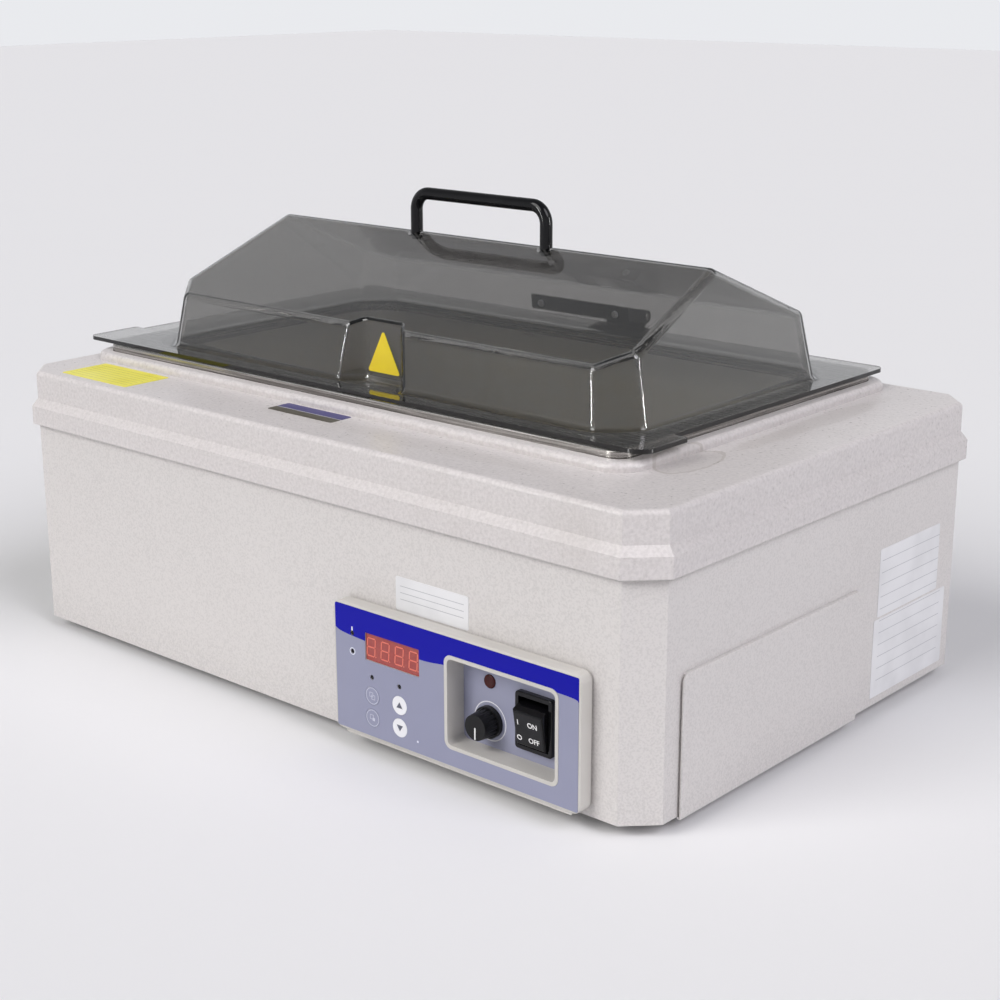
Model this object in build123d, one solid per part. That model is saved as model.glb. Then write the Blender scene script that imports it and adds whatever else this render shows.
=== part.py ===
from build123d import *
import math
import os

os.makedirs("parts", exist_ok=True)

# Laboratory water bath with a hinged, smoked gable lid.
# All lengths are millimetres. X is to the right, Y to the rear, Z up.
# The pieces are drawn about the middle of the case's underside and moved
# at the end, so that the bath stands on its feet at the origin.

# Tank
rim_w = 525.0
rim_d = 311.0
rim_round = 12.0
rim_gap = 0.5
lip_h = 7.5
ledge = 20.0
tank_depth = 150.0
tank_draft = 8.0
tank_wall = 1.2
tank_corner = 38.0
tank_floor_round = 16.0
gasket_w = 8.0
insulation_t = 12.0
insulation_gap = 1.0
insulation_foot = 25.0

# Deck of the top cover between the case's walls and the tank's rim
deck_left = 21.0
deck_right = 74.0
deck_front = 68.5
deck_back = 19.5

# Case
case_h = 175.0
corner = 20.0
sheet = 1.5
case_flange = 15.0
foot_h = 9.0
foot_r = 13.0
foot_inset = 55.0
foot_screw_r = 2.0
small_screw_r = 1.5
screw_gap = 0.2
thread_gap = 0.1
vent_count = 9
vent_w = 5.0
vent_pitch = 11.0
vent_y0 = 60.0
vent_len = 70.0
vent_inset = 20.0

# Top cover
cover_rise = 28.5
cover_wall = 3.0
skirt_proud = 4.7
skirt_h = 13.6
skirt_gap = 1.2
step_rise = 6.0
step_seat = 1.0
cover_round = 3.5
bead_w = 10.0
bead_h = 6.5
bead_round = 4.0
seat_w = 12.0
seat_h = 3.5
bead_gap = 0.5

# Heater under the tank
mat_w = 180.0
mat_d = 190.0
mat_t = 1.5
mat_side = 110.0
heater_plate_margin = 5.0
heater_plate_t = 2.0
stud_x = 60.0
stud_y = 60.0
stud_r = 2.0
stud_len = 14.0
lead_side = 94.0
lead_rise = 20.0
bulb_r = 3.0
bulb_len = 16.0
bulb_drop = 30.0
capillary_r = 1.0
capillary_drop = 23.8

# Lid
lid_over_w = 20.0
lid_over_d = 6.0
lid_side = -6.0
lid_rear = 5.0
lid_t = 3.0
lid_gap = 0.3
lid_corner = 8.0
tab_right_w = 12.0
tab_right_round = 13.0
tab_left_w = 9.5
tab_left_round = 7.0
tab_back_round = 2.0
tab_d = 48.0
dome_in_w = 53.0
dome_in_d = 59.0
dome_side = 13.5
dome_rear = -10.5
dome_chamfer = 24.0
dome_taper_x = 0.215
dome_taper_y = 0.143
dome_taper_c = 0.071
eave_h = 42.0
ridge_h = 93.0
dome_round = 7.0
dome_foot_round = 4.0
dome_mouth_round = 9.0
notch_x = 6.0
notch_w = 66.0
notch_back_w = 36.0
notch_depth = 15.0
notch_round = 6.0
notch_edge_round = 4.0

# Handle
handle_pitch = 131.0
handle_r = 4.75
handle_h = 29.0
handle_bend = 13.0
handle_sink = 3.0
handle_gap = 0.1
handle_pad_r = 6.5
handle_pad_t = 3.5
handle_screw_r = 2.0
handle_screw_grip = 11.0

# Hinge
pivot_in = 4.0
pivot_h = 7.5
pin_r = 2.5
pin_gap = 0.05
knuckle_r = 5.5
arm_pitch = 46.0
arm_t = 5.0
arm_gap = 0.5
plate_w = 101.0
plate_h = 12.0
plate_t = 2.0
plate_rise = 14.5
plate_screw_pitch = 77.0
base_leaf_t = 2.0
base_leaf_drop = 20.0
base_screw_pitch = 24.0

# Front panel
bezel_w = 216.0
bezel_h = 93.0
bezel_right = 39.5
bezel_z = 5.0
bezel_proud = 12.5
bezel_wall = 2.5
bezel_round = 6.0
bezel_edge = 1.2
bezel_neck = 2.0
bezel_neck_in = 2.0
lip_strip_w = 200.0
lip_strip_h = 2.6
overlay_margin = 1.6
overlay_round = 1.2
overlay_gap = 0.2
overlay_t = 0.4
overlay_sink = 0.3
pocket_w = 96.0
pocket_h = 65.4
pocket_right = 17.5
pocket_rise = 13.6
pocket_depth = 16.0
pocket_round = 6.0
pocket_rim = 2.6
panel_cut_margin = 9.0

# Display, lamps and keys: distances from the bezel's left and lower edges
display_w = 50.0
display_h = 19.5
display_in = 55.0
display_rise = 66.0
display_t = 1.5
display_recess = 0.9
display_gap = 0.1
key_left_in = 35.9
key_right_in = 61.5
key_top_rise = 31.4
key_low_rise = 15.3
key_r = 6.6
key_lip = 0.8
key_lip_t = 1.0
key_lip_gap = 0.05
key_gap = 0.15
key_proud = 0.2
key_travel = 0.4
lamp_r = 1.7
lamp_rise = 44.8
lamp_recess = 0.6
icon_in = 17.8
icon_top_rise = 72.3
icon_low_rise = 59.2
board_t = 1.6
board_gap = 12.0
board_left_in = 11.5
board_right_gap = 5.0
board_margin = 10.5
standoff_in = 5.0
standoff_r = 3.0

# Safety thermostat and power switch: distances from the pocket's middle
knob_side = -22.5
knob_rise = -12.5
knob_base_r = 11.0
knob_top_r = 8.8
knob_len = 14.5
knob_skirt = 3.0
knob_clear = 0.4
knob_flutes = 16
knob_flute_r = 1.3
pointer_w = 1.1
pointer_proud = 0.15
shaft_r = 3.0
shaft_gap = 0.05
thermostat_r = 17.0
thermostat_len = 28.0
bush_r = 5.0
lens_r = 4.2
lens_rise = 15.3
switch_side = 17.3
switch_rise = -2.5
switch_w = 31.0
switch_h = 39.5
switch_proud = 4.0
switch_frame = 3.0
switch_len = 26.0
switch_well = 17.0
switch_body_inset = 1.8
switch_hole_inset = 1.5
blade_len = 8.0
rocker_clear = 0.4
rocker_tilt = 10.0
rocker_reach = 17.0
rocker_face_h = 24.8
rocker_flare = 2.0
rocker_axle_depth = 8.1
rocker_axle_r = 2.0

# Side access cover
side_front = 35.0
side_len = 209.5
side_drop = 1.5
side_top = 95.5
side_proud = 2.8
side_sheet = 1.3
side_wall = 3.0
side_lap = 3.0
side_round = 6.0
side_edge = 0.6
side_fold = 14.0
side_fold_inset = 1.0
side_cut_margin = 20.0
side_screw_inset = 9.0

# Rear power inlet
inlet_right = 60.0
inlet_z = 45.0
inlet_w = 28.0
inlet_h = 20.0
inlet_flange_w = 50.0
inlet_flange_t = 2.5
inlet_depth = 22.0
inlet_pitch = 40.0
inlet_wall = 2.0

# Service bay at the right: supply, heat sink and relay
bay_inset = 14.0
bay_w = 60.0
supply_in = 124.5
supply_d = 70.0
supply_h = 44.0
sink_in = 174.5
sink_d = 46.0
sink_h = 30.0
relay_t = 12.0
relay_h = 42.0
wire_r = 1.2

# Labels
label_t = 0.3
label_round = 1.5
front_label_w = 65.0
front_label_h = 23.4
front_label_side = -27.7
front_label_rise = 12.0
yellow_label_w = 79.0
yellow_label_d = 42.5
yellow_label_in = 79.0
yellow_label_front = 31.6
dark_label_w = 65.5
dark_label_d = 21.0
dark_label_x = -26.3
dark_label_front = 45.5
side_label_upper = (85.0, 50.5, 85.0, 91.8)
side_label_lower = (102.0, 59.0, 80.5, 35.5)
lid_label_w = 32.8
lid_label_h = 31.8
lid_label_gap = 3.2

# Values that follow from the sizes above
case_w = deck_left + rim_w + deck_right
case_d = deck_front + rim_d + deck_back
half_w = case_w / 2
half_d = case_d / 2
front = -half_d
back = half_d
rim_x = (deck_left - deck_right) / 2
rim_y = (deck_front - deck_back) / 2
step_z = case_h + step_seat
cover_top = case_h + cover_rise
skirt_z = case_h - skirt_h
rim_top = cover_top + seat_h + rim_gap + lip_h
tank_floor = rim_top - tank_depth
mat_top = tank_floor - tank_wall
lead_y = rim_y + lead_rise
bulb_y = rim_y - bulb_drop
capillary_low = mat_top - capillary_drop
lid_w = rim_w + lid_over_w
lid_d = rim_d + lid_over_d
lid_x = rim_x + lid_side
lid_y = rim_y + lid_rear
lid_z = rim_top + lid_gap
lid_top = lid_z + lid_t
dome_w = rim_w - dome_in_w
dome_d = rim_d - dome_in_d
dome_x = rim_x + dome_side
dome_y = rim_y + dome_rear
dome_z = lid_top - lid_gap
ridge_z = dome_z + ridge_h
seat_z = ridge_z - handle_sink
pivot_y = back - pivot_in
pivot_z = lid_top + pivot_h
bezel_x = half_w - bezel_right - bezel_w / 2
bezel_left = bezel_x - bezel_w / 2
panel_y = front - bezel_proud
floor_y = panel_y + pocket_depth
pocket_x = bezel_x + bezel_w / 2 - pocket_right - pocket_w / 2
pocket_z = bezel_z + pocket_rise + pocket_h / 2
display_x = bezel_left + display_in
display_z = bezel_z + display_rise
key_left_x = bezel_left + key_left_in
key_right_x = bezel_left + key_right_in
key_top_z = bezel_z + key_top_rise
key_low_z = bezel_z + key_low_rise
lamp_z = bezel_z + lamp_rise
icon_x = bezel_left + icon_in
icon_top_z = bezel_z + icon_top_rise
icon_low_z = bezel_z + icon_low_rise
board_y = panel_y + bezel_wall + board_gap
board_x0 = bezel_left + board_left_in
board_x1 = pocket_x - pocket_w / 2 - board_right_gap
board_z0 = bezel_z + board_margin
board_z1 = bezel_z + bezel_h - board_margin
knob_x = pocket_x + knob_side
knob_z = pocket_z + knob_rise
lens_z = pocket_z + lens_rise
switch_x = pocket_x + switch_side
switch_z = pocket_z + switch_rise
axle_y = floor_y + rocker_axle_depth
side_y0 = front + side_front
side_y1 = side_y0 + side_len
inlet_x = half_w - inlet_right
bay_x1 = half_w - bay_inset
bay_x0 = bay_x1 - bay_w
bay_z = 2 * sheet
sink_y = side_y0 + sink_in
supply_y = side_y0 + supply_in
front_reach = bezel_proud + overlay_t
rear_reach = skirt_proud
shift = Location((0, (front_reach - rear_reach) / 2, foot_h))


def block(x0, x1, y0, y1, z0, z1):
    """Box between two corners."""
    middle = Pos((x0 + x1) / 2, (y0 + y1) / 2, (z0 + z1) / 2)
    return middle * Box(x1 - x0, y1 - y0, z1 - z0)


def rod_x(x0, x1, y, z, r):
    """Round bar along X."""
    return Pos((x0 + x1) / 2, y, z) * Rot(0, 90, 0) * Cylinder(r, x1 - x0)


def rod_y(x, y0, y1, z, r):
    """Round bar along Y."""
    return Pos(x, (y0 + y1) / 2, z) * Rot(90, 0, 0) * Cylinder(r, y1 - y0)


def rod_z(x, y, z0, z1, r):
    """Round bar along Z."""
    return Pos(x, y, (z0 + z1) / 2) * Cylinder(r, z1 - z0)


def octagon(w, d, c, z, x=0.0, y=0.0):
    """Rectangle with four equal corner chamfers, lying at height z."""
    a = w / 2
    b = d / 2
    pts = [(a - c, -b), (a, -b + c), (a, b - c), (a - c, b)]
    pts += [(-a + c, b), (-a, b - c), (-a, -b + c), (-a + c, -b)]
    wire = Polyline(*[(x + px, y + py, z) for px, py in pts], close=True)
    return make_face(wire)


def inset_corner(c, t):
    """Corner chamfer of an octagon that is moved inwards by t."""
    return c - t * (2 - math.sqrt(2))


def prism(w, d, c, z0, z1, x=0.0, y=0.0):
    """Upright prism on a chamfered rectangle."""
    return extrude(octagon(w, d, c, z0, x, y), z1 - z0, dir=(0, 0, 1))


def rounded(w, d, r, z0, z1, x=0.0, y=0.0):
    """Upright prism on a rectangle with rounded corners."""
    face = Pos(x, y, z0) * RectangleRounded(w, d, r)
    return extrude(face, z1 - z0, dir=(0, 0, 1))


def plate_y(w, h, r, y0, y1, x, z):
    """Rounded plate that faces the front, from y0 back to y1."""
    face = Pos(x, y0, z) * Rot(90, 0, 0) * RectangleRounded(w, h, r)
    return extrude(face, y1 - y0, dir=(0, 1, 0))


def plate_x(d, h, r, x0, x1, y, z):
    """Rounded plate that faces the right, from x0 out to x1."""
    side = Plane(origin=(x0, y, z), x_dir=(0, 1, 0), z_dir=(1, 0, 0))
    face = side.location * RectangleRounded(d, h, r)
    return extrude(face, x1 - x0, dir=(1, 0, 0))


def pan_screw(x, y, z, r, length, head_h, axis):
    """Pan-head screw: the head's underside is at the point, the shank runs along axis."""
    head = Pos(0, 0, -head_h / 2) * Cylinder(2 * r, head_h)
    head = fillet(head.edges().sort_by(Axis.Z)[0], head_h * 0.5)
    slot = Pos(0, 0, -head_h) * Box(4.2 * r, 0.5 * r, head_h * 0.6)
    shank = Pos(0, 0, length / 2) * Cylinder(r, length)
    return Plane((x, y, z), z_dir=axis).location * (head - slot + shank)


def save(name, shape):
    """Write one sub-part in the finished frame."""
    solids = [shift * s for s in shape.solids()]
    body = solids[0] if len(solids) == 1 else Compound(children=solids)
    export_step(body, f"parts/{name}.step")


# Case shell: four walls with chamfered corners and folded flanges
def case_shell():
    outer = prism(case_w, case_d, corner, 0, case_h)
    inner_c = inset_corner(corner, sheet)
    hollow = prism(case_w - 2 * sheet, case_d - 2 * sheet, inner_c, sheet, case_h - sheet)
    mouth_c = inset_corner(corner, case_flange)
    mouth = prism(case_w - 2 * case_flange, case_d - 2 * case_flange, mouth_c, -1, case_h + 1)
    shell = outer - hollow - mouth
    shell -= plate_y(bezel_w - 2 * panel_cut_margin, bezel_h - 2 * panel_cut_margin, 3,
                     front - 1, front + sheet + 1, bezel_x, bezel_z + bezel_h / 2)
    hole_h = side_top - case_flange - side_cut_margin
    shell -= plate_x(side_len - 2 * side_cut_margin, hole_h, side_round, half_w - sheet - 1, half_w + 1,
                     (side_y0 + side_y1) / 2, case_flange + hole_h / 2)
    shell -= plate_y(inlet_w + 0.6, inlet_h + 0.6, 3, back - sheet - 1, back + 1, inlet_x, inlet_z)
    for s in (-1, 1):
        shell -= rod_y(inlet_x + s * inlet_pitch / 2, back - sheet - 1, back + 1, inlet_z,
                       small_screw_r + screw_gap)
    for x, y in side_screw_places():
        shell -= rod_z(x, y, -1, sheet + 1, small_screw_r + screw_gap)
    for x, y in cover_screw_places():
        shell -= rod_z(x, y, case_h - sheet - 1, case_h + 1, 2.2)
    return shell


def foot_places():
    """Middle of each foot."""
    names = ("front_left", "front_right", "rear_left", "rear_right")
    spots = []
    for i, name in enumerate(names):
        x = (half_w - foot_inset) * (1 if i % 2 else -1)
        y = (half_d - foot_inset) * (1 if i > 1 else -1)
        spots.append((name, x, y))
    return spots


def side_screw_places():
    """Middle of each screw under the fold of the side access cover."""
    x = half_w - side_screw_inset
    return [(x, side_y0 + 30), (x, side_y1 - 30)]


def cover_screw_places():
    """Middle of each screw that holds the top cover down."""
    x = half_w - case_flange / 2 - 0.5
    y = half_d * 0.6
    return [(sx * x, sy * y) for sx in (-1, 1) for sy in (-1, 1)]


# Base plate with vent slots, lying on the case's bottom flange
def base_plate():
    gap = sheet + 0.3
    w = case_w - 2 * gap
    d = case_d - 2 * gap
    plate = prism(w, d, inset_corner(corner, gap), sheet, 2 * sheet)
    for i in range(vent_count):
        x = vent_inset + i * vent_pitch
        plate -= block(x, x + vent_w, vent_y0, vent_y0 + vent_len, 0, 10)
    for name, x, y in foot_places():
        plate -= rod_z(x, y, 0, 10, foot_screw_r + screw_gap)
    for x, y in side_screw_places():
        plate -= rod_z(x, y, 0, 10, small_screw_r + screw_gap)
    return plate


def foot(x, y):
    """Rubber foot with a recess for its screw."""
    low = (Align.CENTER, Align.CENTER, Align.MIN)
    body = Pos(x, y, -foot_h) * Cone(foot_r - 2, foot_r, foot_h + sheet, align=low)
    body = fillet(body.edges().sort_by(Axis.Z)[0], 1.5)
    body -= rod_z(x, y, -foot_h - 1, -foot_h / 2, 2 * foot_screw_r + 1)
    body -= rod_z(x, y, -foot_h, foot_h, foot_screw_r + screw_gap)
    return body


def foot_screws():
    screws = []
    for name, x, y in foot_places():
        screws.append(pan_screw(x, y, -foot_h / 2, foot_screw_r, foot_h / 2 + 2 * sheet + 3, 2.4, (0, 0, 1)))
    return Compound(children=screws)


# Top cover: stepped tray that laps over the case, with a bead round the tank
def top_cover():
    wide_w = case_w + 2 * skirt_proud
    wide_d = case_d + 2 * skirt_proud
    wide_c = inset_corner(corner, -skirt_proud)
    skirt = prism(wide_w, wide_d, wide_c, skirt_z, step_z)
    skirt = fillet(skirt.edges().group_by(Axis.Z)[0], 0.8)
    low = octagon(wide_w, wide_d, wide_c, step_z)
    high = octagon(case_w, case_d, corner, step_z + step_rise)
    step = loft([low, high], ruled=True)
    upper = prism(case_w, case_d, corner, step_z + step_rise, cover_top)
    upper = fillet(upper.edges().group_by(Axis.Z)[-1], cover_round)
    cover = skirt + step + upper
    lap = case_w + 2 * skirt_gap
    lap_d = case_d + 2 * skirt_gap
    cover -= prism(lap, lap_d, inset_corner(corner, -skirt_gap), skirt_z - 1, case_h)
    cave_c = inset_corner(corner, cover_wall)
    cover -= prism(case_w - 2 * cover_wall, case_d - 2 * cover_wall, cave_c,
                   case_h - 1, cover_top - cover_wall)
    for x, y in cover_screw_places():
        s = 1 if x > 0 else -1
        x0, x1 = sorted((s * (half_w - 2), s * (half_w - case_flange)))
        cover += block(x0, x1, y - 7, y + 7, case_h, cover_top - cover_wall)
    bead_low = cover_top - cover_wall
    bead = rounded(rim_w + 2 * (bead_w + bead_gap), rim_d + 2 * (bead_w + bead_gap),
                   rim_round + bead_w, bead_low, cover_top + bead_h, rim_x, rim_y)
    bead = fillet(bead.edges().group_by(Axis.Z)[-1], bead_round)
    cover += bead
    groove = rounded(rim_w + 2 * bead_gap, rim_d + 2 * bead_gap, rim_round + bead_gap,
                     cover_top + seat_h, cover_top + bead_h + 1, rim_x, rim_y)
    cover -= groove
    mouth_w = rim_w - 2 * seat_w
    mouth_d = rim_d - 2 * seat_w
    cover -= rounded(mouth_w, mouth_d, tank_corner, bead_low - 1, cover_top + bead_h + 2, rim_x, rim_y)
    for x, y in cover_screw_places():
        cover -= rod_z(x, y, case_h - 1, case_h + 14, small_screw_r + thread_gap)
    for s in (-1, 1):
        cover -= rod_y(dome_x + s * base_screw_pitch / 2, back - cover_wall - 1, back + 1,
                       base_screw_z(), small_screw_r + screw_gap)
    return cover


def base_screw_z():
    """Height of the screws that hold the fixed hinge leaf."""
    return (step_z + step_rise + cover_top) / 2


def cover_screws():
    screws = []
    for x, y in cover_screw_places():
        screws.append(pan_screw(x, y, case_h - sheet, small_screw_r, sheet + 10, 2.2, (0, 0, 1)))
    return Compound(children=screws)


# Stainless tank: pressed pan with a ledge and a turned-down rim
def pan_form(grow, top, low):
    """Tapered pan body, larger by grow all round."""
    w = rim_w - 2 * ledge + 2 * grow
    d = rim_d - 2 * ledge + 2 * grow
    mouth = Pos(rim_x, rim_y, top) * RectangleRounded(w, d, tank_corner + grow)
    floor = Pos(rim_x, rim_y, low) * RectangleRounded(
        w - 2 * tank_draft, d - 2 * tank_draft, tank_corner + grow)
    form = loft([floor, mouth], ruled=True)
    return fillet(form.edges().group_by(Axis.Z)[0], tank_floor_round + grow)


def tank():
    rim = rounded(rim_w, rim_d, rim_round, rim_top - lip_h, rim_top, rim_x, rim_y)
    rim = fillet(rim.edges().group_by(Axis.Z)[-1], 1.0)
    under = rounded(rim_w - 2 * tank_wall, rim_d - 2 * tank_wall, rim_round - tank_wall,
                    rim_top - lip_h - 1, rim_top - tank_wall, rim_x, rim_y)
    body = pan_form(tank_wall, rim_top - tank_wall / 2, tank_floor - tank_wall)
    pan = rim - under + body
    pan -= pan_form(0, rim_top + 0.01, tank_floor)
    for x, y in stud_places():
        pan += rod_z(x, y, mat_top - stud_len, mat_top, stud_r)
    return pan


def stud_places():
    """Weld studs under the tank floor that hold the heater plates."""
    return [(rim_x + sx * mat_side + ex * stud_x, rim_y + sy * stud_y)
            for sx in (-1, 1) for ex in (-1, 1) for sy in (-1, 1)]


def tank_gasket():
    z0 = cover_top + seat_h
    z1 = rim_top - tank_wall
    wide = rounded(rim_w - 2 * tank_wall - 1, rim_d - 2 * tank_wall - 1, rim_round - tank_wall,
                   z0, z1, rim_x, rim_y)
    hole = rounded(rim_w - 2 * tank_wall - 1 - 2 * gasket_w, rim_d - 2 * tank_wall - 1 - 2 * gasket_w,
                   rim_round, z0 - 1, z1 + 1, rim_x, rim_y)
    return wide - hole


def tank_insulation():
    """Blanket round the tank's four walls."""
    z0 = tank_floor + insulation_foot
    z1 = cover_top - cover_wall - 0.5
    w = rim_w - 2 * ledge + 2 * (tank_wall + insulation_gap)
    d = rim_d - 2 * ledge + 2 * (tank_wall + insulation_gap)
    r = tank_corner + tank_wall + insulation_gap
    outer = rounded(w + 2 * insulation_t, d + 2 * insulation_t, r + insulation_t, z0, z1, rim_x, rim_y)
    return outer - rounded(w, d, r, z0 - 1, z1 + 1, rim_x, rim_y)


def heater_mat(side):
    """Silicone heater mat under one half of the tank floor."""
    x = rim_x + side * mat_side
    mat = rounded(mat_w, mat_d, 6, mat_top - mat_t, mat_top, x, rim_y)
    mat += block(x + lead_side - 6, x + lead_side + 6, lead_y - 5, lead_y + 5, mat_top - 5, mat_top - 0.5)
    for sx, sy in stud_places():
        mat -= rod_z(sx, sy, mat_top - 3, mat_top + 1, stud_r + 0.6)
    return mat


def heater_plate(side):
    """Pressure plate that holds one heater mat to the floor."""
    x = rim_x + side * mat_side
    w = mat_w - 2 * heater_plate_margin
    d = mat_d - 2 * heater_plate_margin
    top = mat_top - mat_t
    plate = rounded(w, d, 8, top - heater_plate_t, top, x, rim_y)
    for sx, sy in stud_places():
        plate -= rod_z(sx, sy, top - heater_plate_t - 1, top + 1, stud_r + 0.6)
    return plate


def heater_nuts():
    nuts = []
    top = mat_top - mat_t - heater_plate_t
    for x, y in stud_places():
        nut = extrude(Pos(x, y, top - 3.5) * RegularPolygon(4.0, 6), 3.5, dir=(0, 0, 1))
        nuts.append(nut - rod_z(x, y, top - 5, top + 1, stud_r + 0.05))
    return Compound(children=nuts)


def temperature_sensor():
    """Disc sensor bonded under the tank floor, between the mats."""
    return rod_z(rim_x, rim_y + 2 * lead_rise, mat_top - 5, mat_top, 7)


def safety_bulb():
    """Bulb of the safety thermostat, clipped under the tank floor."""
    bulb = rod_x(rim_x - bulb_len / 2, rim_x + bulb_len / 2, bulb_y, mat_top - bulb_r - 1.0, bulb_r)
    clip = block(rim_x - 4, rim_x + 4, bulb_y - 8, bulb_y + 8, mat_top - 1.0, mat_top)
    clip += block(rim_x - 4, rim_x + 4, bulb_y - bulb_r - 1, bulb_y + bulb_r + 1,
                  mat_top - bulb_r - 1.0, mat_top - 0.5)
    return bulb + clip


def capillary_tube():
    """Thin tube from the bulb to the safety thermostat."""
    z = mat_top - bulb_r - 1.0
    x0 = rim_x + bulb_len / 2
    y1 = floor_y + thermostat_len + bezel_wall
    path_pts = [(x0, bulb_y, z), (x0 + 8, bulb_y, z), (x0 + 14, bulb_y - 20, capillary_low),
                (x0 + 14, y1 + 40, capillary_low), (knob_x, y1 + 30, knob_z), (knob_x, y1, knob_z)]
    path = FilletPolyline(*path_pts, radius=[4.0, 8.0, 12.0, 10.0])
    ring = Plane(path @ 0, z_dir=path % 0).location * Circle(capillary_r)
    return sweep(ring, path=path)


def diffuser_shelf():
    """Perforated shelf that keeps vessels off the tank floor."""
    top = tank_floor + 14
    w = rim_w - 2 * ledge - 2 * tank_draft - 16
    d = rim_d - 2 * ledge - 2 * tank_draft - 16
    shelf = rounded(w, d, 30, top - 1.2, top, rim_x, rim_y)
    nx = 16
    ny = 8
    for i in range(nx):
        for j in range(ny):
            x = rim_x + (i - (nx - 1) / 2) * (w - 40) / nx
            y = rim_y + (j - (ny - 1) / 2) * (d - 30) / ny
            shelf -= rod_z(x, y, top - 3, top + 1, 5.0)
    for s in (-1, 1):
        y = rim_y + s * (d / 2 - 6)
        shelf += block(rim_x - w / 2 + 40, rim_x + w / 2 - 40, y - 0.6, y + 0.6, tank_floor + 0.3, top - 0.6)
    return shelf


# Lid: vacuum-formed gable with a flat flange, a lifting tab and a front recess
def dome_form(inset):
    """Gable body, moved inwards by inset, from the flange up."""
    base_z = dome_z
    span = ridge_h + 10
    w = dome_w - 2 * inset
    d = dome_d - 2 * inset
    c = inset_corner(dome_chamfer, inset)
    low = octagon(w + 2 * dome_taper_x * 4, d + 2 * dome_taper_y * 4, c + dome_taper_c * 4,
                  base_z - 4, dome_x, dome_y)
    high = octagon(w - 2 * dome_taper_x * span, d - 2 * dome_taper_y * span,
                   c - dome_taper_c * span, base_z + span, dome_x, dome_y)
    column = loft([low, high], ruled=True)
    half = dome_d / 2 - dome_taper_y * eave_h
    slope = (ridge_h - eave_h) / half
    drop = inset * math.sqrt(1 + slope * slope)
    top = ridge_z - drop
    reach = dome_d
    profile = Polyline((0, dome_y - reach, top - slope * reach), (0, dome_y, top),
                       (0, dome_y + reach, top - slope * reach), (0, dome_y + reach, base_z - 20),
                       (0, dome_y - reach, base_z - 20), close=True)
    roof = Pos(dome_x - dome_w, 0, 0) * extrude(make_face(profile), 2 * dome_w, dir=(1, 0, 0))
    form = column & roof
    r = dome_round - inset
    picked = form.edges().filter_by(lambda e: e.center().Z > base_z)
    form = fillet(picked, r)
    return form


def notch_form(grow):
    """Recess in the front wall, larger by grow on its inner faces."""
    base_z = dome_z
    y_front = dome_y - dome_d / 2 - 10
    y_back = dome_y - dome_d / 2 + notch_depth + grow
    splay = (notch_w - notch_back_w) / 2 / notch_depth
    a = notch_back_w / 2 + grow * (math.sqrt(1 + splay * splay) - splay)
    b = a + splay * (y_back - y_front)
    x = dome_x + notch_x
    pts = [(x - b, y_front), (x + b, y_front), (x + a, y_back), (x - a, y_back)]
    wire = Polyline(*[(px, py, base_z - 5) for px, py in pts], close=True)
    form = extrude(make_face(wire), ridge_h, dir=(0, 0, 1))
    picked = form.edges().filter_by(Axis.Z).filter_by(lambda e: e.center().Y > y_back - 1)
    return fillet(picked, notch_round + grow)


def lid_tab(side, w, r, z0, z1):
    """Lifting tab at a front corner of the flange: side is 1 at the right and -1 at the left."""
    edge = lid_x + side * lid_w / 2
    y0 = lid_y - lid_d / 2
    x0, x1 = sorted((edge - side * tab_d, edge + side * w))
    tab = block(x0, x1, y0, y0 + tab_d, z0, z1)

    def outer(shape):
        return shape.edges().filter_by(Axis.Z).group_by(Axis.X)[-1 if side > 0 else 0].sort_by(Axis.Y)

    tab = fillet(outer(tab)[0], r)
    return fillet(outer(tab)[-1], tab_back_round)


def lid_plan(z0, z1):
    """Flange outline with a lifting tab at each front corner."""
    plate = rounded(lid_w, lid_d, lid_corner, z0, z1, lid_x, lid_y)
    plate += lid_tab(1, tab_right_w, tab_right_round, z0, z1)
    return plate + lid_tab(-1, tab_left_w, tab_left_round, z0, z1)


def dome_outside():
    """Gable body with its recess, and soft edges round the recess."""
    form = dome_form(0) - notch_form(0)
    wall_y = dome_y - dome_d / 2
    side = notch_w / 2 + notch_round

    def at_notch(edge):
        mid = edge.center()
        return (mid.Y < wall_y + notch_depth + lid_t and abs(mid.X - dome_x - notch_x) < side
                and mid.Z > lid_top + lid_t)

    form = fillet(form.edges().filter_by(at_notch), notch_edge_round)
    return form & block(-half_w, half_w, -half_d, half_d, lid_z, ridge_z + 10)


def foot_edges(shell, z):
    """Level edges at height z that run round the dome's foot."""
    def in_foot(edge):
        box = edge.bounding_box()
        mid = edge.center()
        level = abs(box.min.Z - z) < 0.01 and abs(box.max.Z - z) < 0.01
        in_x = abs(mid.X - dome_x) < dome_w / 2 + 1
        in_y = abs(mid.Y - dome_y) < dome_d / 2 + 1
        return level and in_x and in_y and mid.Y > lid_y - lid_d / 2 + 1

    return shell.edges().filter_by(in_foot)


def lid_shell():
    shell = lid_plan(lid_z, lid_top) + dome_outside() - (dome_form(lid_t) - notch_form(lid_t))
    shell = fillet(foot_edges(shell, lid_top), dome_foot_round)
    shell = fillet(foot_edges(shell, lid_z), dome_mouth_round)
    for s in (-1, 1):
        x = dome_x + s * handle_pitch / 2
        shell += rod_z(x, dome_y, seat_z - handle_pad_t, seat_z, handle_pad_r)
        shell -= rod_z(x, dome_y, seat_z, ridge_z + 1, handle_r + handle_gap)
        shell -= rod_z(x, dome_y, seat_z - handle_pad_t - 1, seat_z + 1, handle_screw_r + screw_gap)
        shell -= plate_hole(dome_x + s * plate_screw_pitch / 2)
    return shell


wall_angle = math.degrees(math.atan(dome_taper_y))


def wall_frame():
    """Frame on the outside of the lid's rear wall, at the hinge plate's middle."""
    z = dome_z + plate_rise + plate_h / 2
    y = dome_y + dome_d / 2 - dome_taper_y * (plate_rise + plate_h / 2)
    return Pos(dome_x, y, z) * Rot(wall_angle, 0, 0)


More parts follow.
